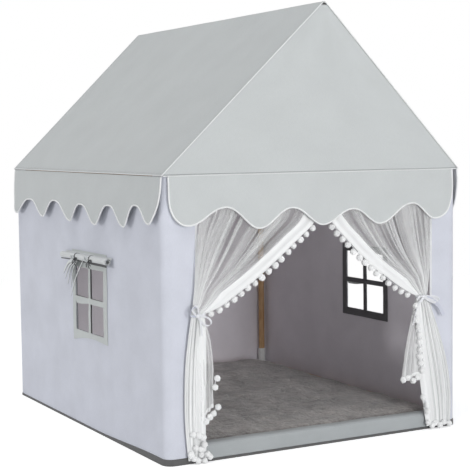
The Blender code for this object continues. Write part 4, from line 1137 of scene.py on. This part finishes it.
def make_window(side, word):
    """The sewn binding round one window with its crossing bars."""
    middle = window_middles[side]
    edge = half_hole + window_binding
    a, z, keep = window_grid(window_binding, window_top_binding, 0.006)
    foot = 1 - smooth(hole_bottom - window_binding, hole_bottom, z)
    z_grid = z[:, None] + foot[:, None] * frame_drift(side, a + middle)[None]
    bar_foot = (np.abs(z - (window_middle_z - half_bar)) < 1e-6)[:, None] & (np.abs(a) < half_hole)[None]
    z_grid = z_grid - bar_foot * (0.007 * smooth(0, 0.08, a) + 0.002)[None]
    a_grid = np.broadcast_to(middle + a[None], z_grid.shape)
    wander = 0.0016 * noise(50 + side, 0.07, a_grid, z_grid)
    a_grid = a_grid + wander * smooth(half_hole, half_hole + 0.01, np.abs(a))
    puff = 0.0011 + 0.0006 * noise(52 + side, 0.03, a_grid, z_grid)
    edge_fall = np.minimum(np.abs(np.abs(a) - edge), 0.004)[None] / 0.004
    wall_out = half_width + wall_ripple(wall_numbers[side], a_grid, z_grid)
    out = wall_out + 0.0004 + puff * (0.35 + 0.65 * edge_fall)
    face = xyz(side * out, a_grid, z_grid)
    skin = Skin()
    skin.sheet(face, binding_thickness, -side, keep, slots=one_cloth)
    seam = np.concatenate([face[1, 1:-2], face[1:-2, -2], face[-2, -2:1:-1], face[-2:1:-1, 1]])
    skin.stitches(seam + (side * 0.0003, 0, 0), (side, 0, 0), 1)
    frame_piece = skin.make(f"window_binding_{word}", [binding_cloth, light_thread])
    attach(frame_piece, "tent")
    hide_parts(f"window_frame_{word}")
    return [frame_piece, make_painted_shade_lining(side, word)]


def make_painted_shade_lining(side, word):
    """The tape round the window and over its bars, on the inside of the wall, coloured dark as painted shade.
    """
    a, z, keep = window_grid(lining_border, lining_border, 0.007)
    y, z = window_middles[side] + a[None], z[:, None]
    inside = half_width - wall_thickness - 0.0004 + wall_ripple(wall_numbers[side], y, z)
    face = xyz(side * (inside - 0.0009 - 0.0004 * noise(56 + side, 0.03, y, z)), y, z)
    skin = Skin()
    skin.sheet(face, lining_thickness, side, keep, slots=one_cloth)
    lining = skin.make(f"window_painted_shade_lining_{word}", [painted_shade_lining_cloth])
    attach(lining, "tent")
    return lining


def roll_droop(side, y):
    """The roll hangs a little lower at its rear end."""
    along = (y - window_middles[side]) / blind_length
    return -0.0022 * smooth(0.1, 0.5, along) - 0.0006 * np.cos(along * 9)


def make_blind(side, word):
    """The rolled cloth with its hem, the strip above it that stretches, and the bows. The hem hangs under the
    roll, near black as painted shade.
    """
    middle = window_middles[side]
    y = np.linspace(middle - blind_length / 2, middle + blind_length / 2, 70)
    angle = np.linspace(0, math.tau * roll_turns, 120)
    pitch = (roll_radius - 0.0006 - roll_core) / roll_turns
    radius = roll_core + pitch * angle / math.tau
    start = math.radians(-60)
    spiral_x = radius * np.cos(angle + start)
    spiral_z = radius * np.sin(angle + start)
    share = (radius - roll_core) / (roll_radius - roll_core)
    off_end = np.sign(y - middle)[:, None] * (np.abs(y - middle) > 0.18)[:, None]
    shift = 0.0011 * np.sin(angle * 1.7 + 1)[None] * off_end
    puff = 1 + 0.025 * noise(60 + side, 0.05, y, 0)[:, None] * share[None]
    height = roll_z + spiral_z[None] * puff + roll_droop(side, y)[:, None]
    face = xyz(side * (roll_x + spiral_x[None] * puff), y[:, None] + shift, height)
    skin = Skin()
    skin.sheet(face, rolled_cloth, side, slots=one_cloth)
    # The hem strip under the roll, near black as painted shade
    front_share = (middle + blind_length / 2 - y) / blind_length
    hem_height = mix(0.0035, 0.0085, smooth(0.45, 0.8, front_share))
    hem_z = roll_z + roll_droop(side, y) - roll_radius - hem_height * 0.28
    hem_path = xyz(side * (roll_x + 0.005), y, hem_z)
    skin.ribbon(hem_path, (side * 0.25, 0, 1), hem_height, 0.0009, slot=1)
    roll = skin.make(f"blind_roll_cloth_{word}", [blind_cloth, blind_hem_painted_shade])
    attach(roll, f"blind_{word}")
    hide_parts(f"blind_roll_{word}")

    z_top = 0.591
    rows = np.linspace(0, 1, 20)
    y_in = np.linspace(middle - blind_length / 2 + 0.001, middle + blind_length / 2 - 0.001, 80)
    z_low = roll_z + roll_droop(side, y_in)
    z = mix(z_top, z_low[None], rows[:, None])
    face_x = half_width + 0.0026 + wall_ripple(wall_numbers[side], y_in, z_top)[None]
    out = mix(face_x, roll_x - roll_radius + 0.0003, smooth(0, 1, rows)[:, None])
    out = out + 0.0005 * noise(64 + side, 0.03, y_in, 0)[None] * np.sin(rows * math.pi)[:, None]
    skin = Skin()
    skin.sheet(xyz(side * out, y_in, z), blind_sheet_thickness, side, slots=one_cloth)
    sheet = skin.make(f"blind_cloth_{word}", [blind_cloth])
    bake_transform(sheet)
    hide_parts(f"blind_sheet_{word}")
    bows = make_blind_bows(side, word, middle)


def add_knot(skin, centre, half_length, radius, steps, sides):
    """A soft round knot whose half length is a vector."""
    t = np.linspace(-1, 1, steps)
    skin.tube(centre + half_length * t[:, None], radius * np.sqrt(np.maximum(1 - t**4, 0.06)), sides)


def make_blind_bows(side, word, middle):
    """Two dark bows round the roll, and pale loose strands that fan back from the rear one."""
    skin = Skin()
    out, along, down = np.array([side, 0, 0.0]), np.array([0, 1.0, 0]), np.array([0, 0, -1.0])
    wrap_radius = roll_radius + 0.0009
    for shift, size in ((-0.062, 1.25), (0.061, 1.0)):
        y = middle + shift
        centre = np.array([side * roll_x, y, roll_z + float(roll_droop(side, np.array(y)))])
        t = circle_angles(32)
        wrap = centre + wrap_radius * (np.cos(t)[:, None] * out + np.sin(t)[:, None] * down)
        skin.ribbon(wrap, along, 0.005, 0.0007, True)
        knot_way = out * 0.8 + down * 0.6
        knot = centre + knot_way * (wrap_radius + 0.0028)
        add_knot(skin, knot, along * 0.0042, 0.0036, 9, 10)
        t = circle_angles(33)
        for way, raised, slot in ((-1, 0.3, 0), (1, 0.9, 1)):
            higher = size * (0.0075 * np.sin(t) * np.sin(t / 2) + raised * 0.006 * (1 - np.cos(t)))
            loop = knot + along * (way * 0.011 * size * (1 - np.cos(t)))[:, None] - down * higher[:, None]
            loop = loop + knot_way * (0.0018 * np.sin(t / 2) ** 2)[:, None]
            skin.ribbon(loop, out, 0.0056, ribbon_thickness, True, slot)
        for way, fall in ((-0.02, 0.012), (0.016, 0.017), (-0.009, 0.021)):
            bend = knot + along * way * 0.5 + down * fall * 0.3 + out * 0.003
            tail = spline([knot, bend, knot + along * way + down * fall], 16)
            skin.ribbon(tail, out * 0.4 + along * 0.5 + down * 0.5, 0.0036, ribbon_thickness)
    # The longest strand, number 4 from 0, hangs straighter than the rest
    root = np.array([side * (roll_x + 0.006), middle, roll_z - roll_radius - 0.001])
    for k, (start, end, fall, strand_width) in enumerate(fringe):
        first = root + along * start
        fall = fall * strand_falls[side]
        last = root + along * mix(start, end, strand_falls[side]) + down * fall - out * 0.007
        bend = mix(first, last, 0.45) + out * 0.004 - down * (0.12 * fall if k != 4 else 0.003)
        path = spline([first, bend, last], 30)
        path[:, 2] += 0.0012 * np.sin(np.linspace(0, 7, 30) + 2 * k)
        taper = strand_width * (1 - 0.55 * smooth(0.75, 1, np.linspace(0, 1, 30)))
        across = out * 0.25 + unit(np.cross(out, last - first)) * 0.97
        skin.ribbon(path, across, taper, ribbon_thickness, slot=1)
        # A thin dark ribbon beside each pale strand: painted shade between the strands
        skin.ribbon(path + across * strand_width * 0.6 - out * 0.0008, across, taper * 0.22, 0.0005)
    bows = skin.make(f"blind_bows_{word}", [grey_ribbon, pale_ribbon])
    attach(bows, f"blind_{word}")
    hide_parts(f"blind_ribbons_{word}")
    return bows


# Door curtains


def bundle(side):
    """Where the gathered curtain starts and ends at its tie, out from the door's middle."""
    middle, spread = bundles[side]
    return middle - spread / 2, middle + spread / 2


def lead_path(side, steps):
    """Equal steps down the leading edge of a drape, as distance out and height."""
    path = spline(lead_places[side], 300)
    return at_lengths(path, np.linspace(0, lengths_along(path)[-1], steps))


def pleat_folds(side, lengthwise):
    """Where each point across the cloth lies in its folds: share of the width, and depth from -1 to 1.

    The cloth snakes from side to side and doubles back on itself, in pleats of uneven width.
    """
    s = np.linspace(0, 1, pleats * 30 + 1)[None]
    drift = 0.03 * np.sin(math.tau * s * 1.3 + side) + 0.022 * np.sin(math.tau * s * 3.1 + 2 * side)
    phase = math.tau * pleats * (s + drift * np.sin(math.pi * s))
    phase = phase + 0.5 * noise(90 + side, 0.3, s, lengthwise)
    swing = math.radians(117) + math.radians(13) * noise(91 + side, 0.11, s, lengthwise * 0.35)
    angle = swing * np.sin(phase)

    def summed(values):
        return np.pad(np.cumsum((values[:, 1:] + values[:, :-1]) / 2, axis=1), ((0, 0), (1, 0)))

    across, into = summed(np.cos(angle)), summed(np.sin(angle))
    across = across / across[:, -1:]
    into = into - mix(into[:, :1], into[:, -1:], s)
    into = into / np.abs(into).max(axis=1, keepdims=True)
    return across, into


def make_curtain(side, word):
    """One sheer curtain from header to floor, drawn together at its tie."""
    # t runs down to the tie, s from there to the hem
    inner, outer = bundle(side)
    edge = half_door - 0.0015
    t = np.linspace(0, 1, 100)[:, None]
    lead = lead_path(side, len(t))
    far = np.concatenate([bezier(edge, edge, edge, outer, t), mix(wall_top, drape_bottom, t)], axis=1)
    s = np.linspace(0, 1, 110)[1:, None]
    forward, gathered = smooth(0.05, 0.3, t), smooth(0.55, 1, t)
    falling = mix(drape_bottom, curtain_foot, s)
    s_free = np.clip((ring_bottom - falling) / (ring_bottom - curtain_foot), 0, 1)
    released = smooth(0, 0.35, s_free)
    inner_edge = bezier(inner, *(half_door * k for k in tail_inner_shares[side]), s_free)
    outer_edge = bezier(outer, *(half_door * k for k in tail_outer_shares[side]), s_free)

    row_width = np.concatenate([far[:, :1] - lead[:, :1], outer_edge - inner_edge])
    down = wall_top - np.concatenate([far[:, 1:], falling])
    across, into = pleat_folds(side, down)
    band = np.linspace(0, 1, 13)[None, 1:]
    band_share = np.minimum(lead_band / row_width, 0.42)
    u = np.concatenate([across * (1 - band_share), mix(1 - band_share, 1, band)], axis=1)
    near = mix(into[:, -1:], 0.8 - 0.25 * band, smooth(0, 0.35, band))
    into = np.concatenate([into, near], axis=1)

    high, low = u[: len(t)], u[len(t) :]
    out = np.concatenate([mix(far[:, :1], lead[:, :1], high), mix(outer_edge, inner_edge, low)])
    z = np.concatenate([mix(far[:, 1:], lead[:, 1:], high), falling * np.ones_like(low)])
    behind_drape = mix(mix(header_back, drape_back, forward), neck_back, gathered)
    behind = np.concatenate([behind_drape, mix(neck_back, tail_back + 0.0004, released)])
    deep_drape = mix(mix(0.0065, 0.0115, forward), bundle_depth, gathered)
    deep = np.concatenate([deep_drape, mix(bundle_depth, 0.0095, released)])
    round_share = np.concatenate([gathered, 1 - released])
    arch = np.sqrt(np.clip(1 - (2 * u - 1) ** 2, 0.03, 1))
    swell = mix(1.0, arch, round_share) * (0.85 + 0.15 * noise(92 + side, 0.12, u, down * 0.5))
    y = behind + deep / 2 + into * swell * (deep / 2 - curtain_cloth)
    face = xyz(side * out, -y, z)

    # The mark is the share of the light that each of the sheet's two faces stops
    crowd = np.maximum(1, 0.8 / (row_width * 2.6))
    stops = np.concatenate([np.full_like(t, drape_stops), mix(drape_stops, tail_stops, released)])
    single = (1 - (1 - stops) ** crowd) * np.ones_like(u)
    single[:, -11:] = np.maximum(single[:, -11:], band_stops)
    single = np.where(z < curtain_hem_top, np.maximum(single, hem_stops), single)
    mark = 1 - np.sqrt(1 - np.minimum(single, 0.985))
    cloth_u = np.concatenate([np.linspace(0, 0.76, across.shape[1]), 0.76 + lead_band * band[0]])[None]
    uv = np.stack([cloth_u * np.ones_like(u), down * np.ones_like(u)], axis=-1)
    skin = Skin()
    skin.sheet(face, curtain_cloth, -side, uv=uv, slots=one_cloth, marks=mark)
    seam = face[:, -13] + (0, -0.0012, 0)
    skin.stitches(seam[8:90], (0, -1, 0), 1)
    curtain = skin.make(f"curtain_{word}", [sheer, white_ribbon])
    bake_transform(curtain)
    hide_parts(f"curtain_drape_{word}", f"curtain_tail_{word}")
    return curtain


def make_under_layer(side, word):
    """The shorter layer that shows beside the tail below the tie."""
    inner, outer = bundle(side)
    u = np.linspace(0, 1, 65)[None]
    s = np.linspace(0, 1, 60)[:, None]
    top, bottom = ring_bottom - 0.001, 0.17
    inner_edge = bezier(inner + 0.004, *(half_door * k for k in under_inner_shares[side]), s)
    outer_edge = bezier(outer - 0.006, *(half_door * k for k in under_outer_shares[side]), s)
    out = mix(outer_edge, inner_edge, u)
    slant = 0.024 * (1 - u) if side > 0 else 0.043 * u - 0.045
    z = mix(top, bottom, s) + s * slant
    phase = math.tau * 4 * (u + 0.04 * np.sin(math.tau * u)) + 1.2 * noise(96 + side, 0.2, u, s)
    wave = 0.5 - 0.5 * np.cos(phase)
    y = tail_back + 0.0012 + wave * mix(0.002, 0.0075, smooth(0, 0.6, s))
    skin = Skin()
    uv = np.stack(np.broadcast_arrays(u * 0.13, s * 0.27), axis=-1)
    mark = np.maximum((s > 0.95) * 0.8, 0.4)
    skin.sheet(xyz(side * out, -y, z), curtain_cloth, -side, uv=uv, slots=one_cloth, marks=mark)
    layer = skin.make(f"curtain_under_layer_{word}", [sheer])
    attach(layer, f"curtain_end_{word}")


def string_of_pompoms(skin, path, radius, seed, hang):
    """Pom-poms along a path, joined by a fine cord, each hanging its own radius below."""
    path = np.asarray(path, float)
    skin.tube(spline(path, 12 * len(path)) if len(path) > 2 else path, 0.0011, 7, slot=1)
    rng = np.random.default_rng(seed)
    for i, point in enumerate(path):
        sway = rng.uniform(-1, 1, 3) * 0.0016
        size = radius * rng.uniform(0.93, 1.06)
        add_pompom(skin, point + np.asarray(hang) * (size * 0.85) + sway, size, seed * 100 + i)


def make_drape_trim(side, word):
    samples = lead_path(side, 400)
    kept = samples[(samples[:, 1] < 0.698) & (samples[:, 0] < bundle(side)[0] - 0.009)]
    x, z = at_lengths(kept, np.arange(0, lengths_along(kept)[-1], pompom_spacing)).T
    run = unit(np.gradient(np.stack([x, z], 1), axis=0))
    away = np.stack([run[:, 1], -run[:, 0]], axis=1)
    away *= np.where(away[:, 1:] < 0, 1, -1)
    path = xyz(side * (x + away[:, 0] * 0.001), -(drape_back + 0.004), z + away[:, 1] * 0.001)
    skin = Skin()
    hang = np.array([side * away[:, 0].mean() * 0.55, 0, -1.0])
    string_of_pompoms(skin, path, pompom_radius, 200 + side, hang / np.linalg.norm(hang))
    trim = skin.make(f"curtain_pompoms_{word}", [yarn, white_ribbon])
    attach(trim, "tent")
    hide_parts(f"pompom_trim_{word}")
    return trim


def make_tail_trim(side, word):
    """Pom-poms down the free edge of the tail, along its hem and along the shorter layer."""
    skin = Skin()
    radius = 0.0098
    y_front = -(tail_back + 0.0105)
    if side < 0:
        edge = [(0.379, 0.255), (0.386, 0.228)]
        hem_high = [(0.372, 0.163), (0.386, 0.146), (0.402, 0.138), (0.414, 0.126)]
        low = [(0.459, 0.092), (0.443, 0.087), (0.429, 0.08), (0.4255, 0.06), (0.436, 0.046), (0.452, 0.05)]
        foot = [(0.466, 0.032), (0.457, 0.018), (0.443, 0.012), (0.434, 0.028), (0.423, 0.01), (0.413, 0.028)]
        foot += [(0.403, 0.018)]
    else:
        edge = [(0.356, 0.418), (0.356, 0.394), (0.36, 0.37), (0.366, 0.346), (0.37, 0.322)]
        edge += [(0.372, 0.298), (0.373, 0.274), (0.373, 0.25), (0.376, 0.226), (0.382, 0.203)]
        hem_high = [(0.313, 0.176), (0.332, 0.178), (0.352, 0.17), (0.37, 0.18), (0.389, 0.197)]
        low = [(0.387, 0.112), (0.402, 0.084), (0.406, 0.062)]
        foot = [(0.41, 0.026), (0.425, 0.012), (0.441, 0.02), (0.458, 0.01), (0.475, 0.019), (0.496, 0.012)]
    for k, (points, back) in enumerate(((edge, -0.0055), (hem_high, 0.003), (low, -0.005), (foot, -0.002))):
        path = [(side * a, y_front + back, z + radius * 0.6) for a, z in points]
        string_of_pompoms(skin, path, radius, 300 + 10 * k + side, (0, -0.25, -0.7))
    trim = skin.make(f"curtain_end_pompoms_{word}", [yarn, white_ribbon])
    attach(trim, f"curtain_end_{word}")
    return trim


def make_tie(side, word):
    """The ribbon round the gathered curtain, tied in a bow."""
    inner, outer = bundle(side)
    half_x = (outer - inner) / 2 + 0.0016
    half_y = bundle_depth / 2 + 0.0008
    centre = np.array([side * (inner + outer) / 2, -neck_back - bundle_depth / 2, tie_height])
    across, forward, up = np.array([side, 0, 0.0]), np.array([0, -1.0, 0]), np.array([0, 0, 1.0])
    skin = Skin()
    t = circle_angles(48)
    c, s = np.cos(t), np.sin(t)
    swell = (np.abs(c) ** 2.6 + np.abs(s) ** 2.6) ** (-1 / 2.6)
    for lift, ribbon_width in ((0.0, 0.0064), (0.0014, 0.005)):
        grow = 1 + lift * 18
        wrap = xyz(half_x * grow * c * swell, half_y * grow * s * swell, lift + 0.0007 * np.sin(3 * t))
        skin.ribbon(centre + wrap, up, ribbon_width, 0.0007, True)
    knot = centre + across * half_x * knot_shares[side] + forward * (half_y + 0.003)
    add_knot(skin, knot, np.array([0.006, 0, 0.0016]), 0.0056, 11, 12)
    t = circle_angles(43)
    for reach_out, rise_by, height, ribbon_width, slot in tie_loops[side]:
        end = across * reach_out + up * rise_by
        length = np.linalg.norm(end)
        turned = np.cross(forward, end / length)
        loop = knot + end * ((1 - np.cos(t)) / 2)[:, None]
        loop = loop + turned * (height * np.sin(t) * np.sin(t / 2) / 1.5)[:, None]
        loop = loop + forward * (0.001 + 0.004 * np.sin(t / 2) ** 2)[:, None]
        skin.ribbon(loop, forward * 0.5 + turned * 0.85, ribbon_width, ribbon_thickness, True, slot)
    for reach_out, fall, ribbon_width, slot in tie_tails[side]:
        bends = ((0, 0, 0), (0.4, 0.18, 0.004), (0.78, 0.58, 0.003), (1, 1, 0.001))
        path = spline([knot + across * reach_out * a - up * fall * b + forward * c for a, b, c in bends], 36)
        way = forward * 0.4 + up * 0.55 + across * (0.72 if reach_out > 0 else -0.72)
        skin.ribbon(path, way, ribbon_width, ribbon_thickness, slot=slot)
        # A narrow darker ribbon along the shaded tail: painted shade
        if slot == 2:
            skin.ribbon(path - way * ribbon_width * 0.5 - forward * 0.0005, way, 0.0018, 0.0005, slot=3)
    tie = skin.make(f"curtain_ribbon_{word}", [white_ribbon, piping, ribbon_in_painted_shade, ribbon_in_deeper_painted_shade])
    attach(tie, f"curtain_end_{word}")
    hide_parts(f"curtain_tie_{word}")
    return tie


def dress_frame():
    """Gives the poles a grain along their length, and the connectors a moulded finish."""
    plastic = plastic_material("white_plastic_satin", (0.8, 0.81, 0.8))
    woods = {}
    for name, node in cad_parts.items():
        if "connector" in name:
            chosen = plastic
        elif name.startswith(("post", "rafter", "ridge_pole", "base_rail", "eave_rail")):
            low, high = (np.array(point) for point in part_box(name))
            if name.startswith("rafter"):
                axis = np.array([high[0] - low[0], 0, high[2] - low[2]])
                axis = axis * (1 if "left" in name else -1, 1, 1)
            else:
                axis = np.zeros(3)
                axis[int(np.argmax(high - low))] = 1
            axis = tuple(np.round(unit(axis), 4))
            if axis not in woods:
                woods[axis] = wood_material(f"pine_{len(woods)}", axis)
            chosen = woods[axis]
        else:
            continue
        for holder in node.material_slots:
            holder.material = chosen


def make_stage():
    """A white floor and background that light the tent softly."""
    bpy.ops.mesh.primitive_plane_add(size=60, location=(0, 0, 0))
    floor = bpy.context.object
    floor.name = "studio_floor"
    floor.data.materials.append(floor_material("studio_floor"))
    floor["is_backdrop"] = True
    n = Nodes(bpy.data.worlds.new("studio"))
    bpy.context.scene.world = n.owner
    ambient = n.add("ShaderNodeBackground", {"Color": (0.97, 0.98, 1, 1), "Strength": 0.46})[0]
    white = n.add("ShaderNodeBackground", {"Color": (1, 1, 1, 1), "Strength": 1.0})[0]
    both = n.add("ShaderNodeMixShader", {0: n.seen(), 1: ambient, 2: white})[0]
    n.add("ShaderNodeOutputWorld", {0: both})


def add_lamp(name, place, aim, size, power):
    """A square lamp of the given width and watts."""
    lamp = bpy.data.lights.new(name, "AREA")
    lamp.shape = "SQUARE"
    lamp.size = size
    lamp.energy = power
    obj = add_object(name, lamp)
    way = unit(np.array(place, float) - np.array(aim, float))
    side = unit(np.cross((0, 0, 1.0), way))
    up = np.cross(way, side)
    turn = np.stack([side, up, way], axis=1)
    obj.matrix_world = Matrix.Translation(place) @ Matrix(turn.tolist()).to_4x4()


def make_camera():
    """The photo's camera, solved from the corners of the floor, the eaves and the ridge."""
    yaw, pitch, roll = math.radians(28.883), math.radians(4.339), math.radians(-0.634)
    forward = np.array([math.sin(yaw) * math.cos(pitch), math.cos(yaw) * math.cos(pitch), -math.sin(pitch)])
    right = np.array([math.cos(yaw), -math.sin(yaw), 0])
    up = np.cross(right, forward)
    turned_right = math.cos(roll) * right + math.sin(roll) * up
    turned_up = math.cos(roll) * up - math.sin(roll) * right
    data = bpy.data.cameras.new("camera")
    data.sensor_width = 36
    data.lens = 96.909
    data.clip_end = 100
    camera = add_object("camera", data)
    turn = Matrix(np.stack([turned_right, turned_up, -forward], axis=1).tolist()).to_4x4()
    camera.matrix_world = Matrix.Translation((-2.1301, -3.9573, 0.9647)) @ turn
    bpy.context.scene.camera = camera


make_camera()
make_stage()
add_lamp("front", (-0.2, -6.2, 1.05), (0, 0, 0.6), 1.8, 138)
add_lamp("left", (-5.7, 1.5, 0.95), (0, 0, 0.7), 0.5, 60)
add_lamp("above", (-1.6, -1.4, 6), (0, 0, 1), 3, 76)
add_lamp("through_cloth", (0, 0, 1.02), (0, 0.001, 0), 0.7, 0.8)
dress_frame()
walls = make_walls()
wall_pieces = list(make_door_bindings())
make_roof()
make_valances()
make_ground_cloth()
make_sill_cloth()
make_mat()
for side, word in side_names.items():
    wall_pieces += make_window(side, word)
    make_blind(side, word)
    curtain = make_curtain(side, word)
    make_under_layer(side, word)
    trims = [make_drape_trim(side, word), make_tail_trim(side, word), make_tie(side, word)]
bpy.context.scene.view_settings.view_transform = "Standard"
boxes = {"cad": cad_box, "visual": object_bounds()}
{key: [list(point) for point in box] for key, box in boxes.items()}
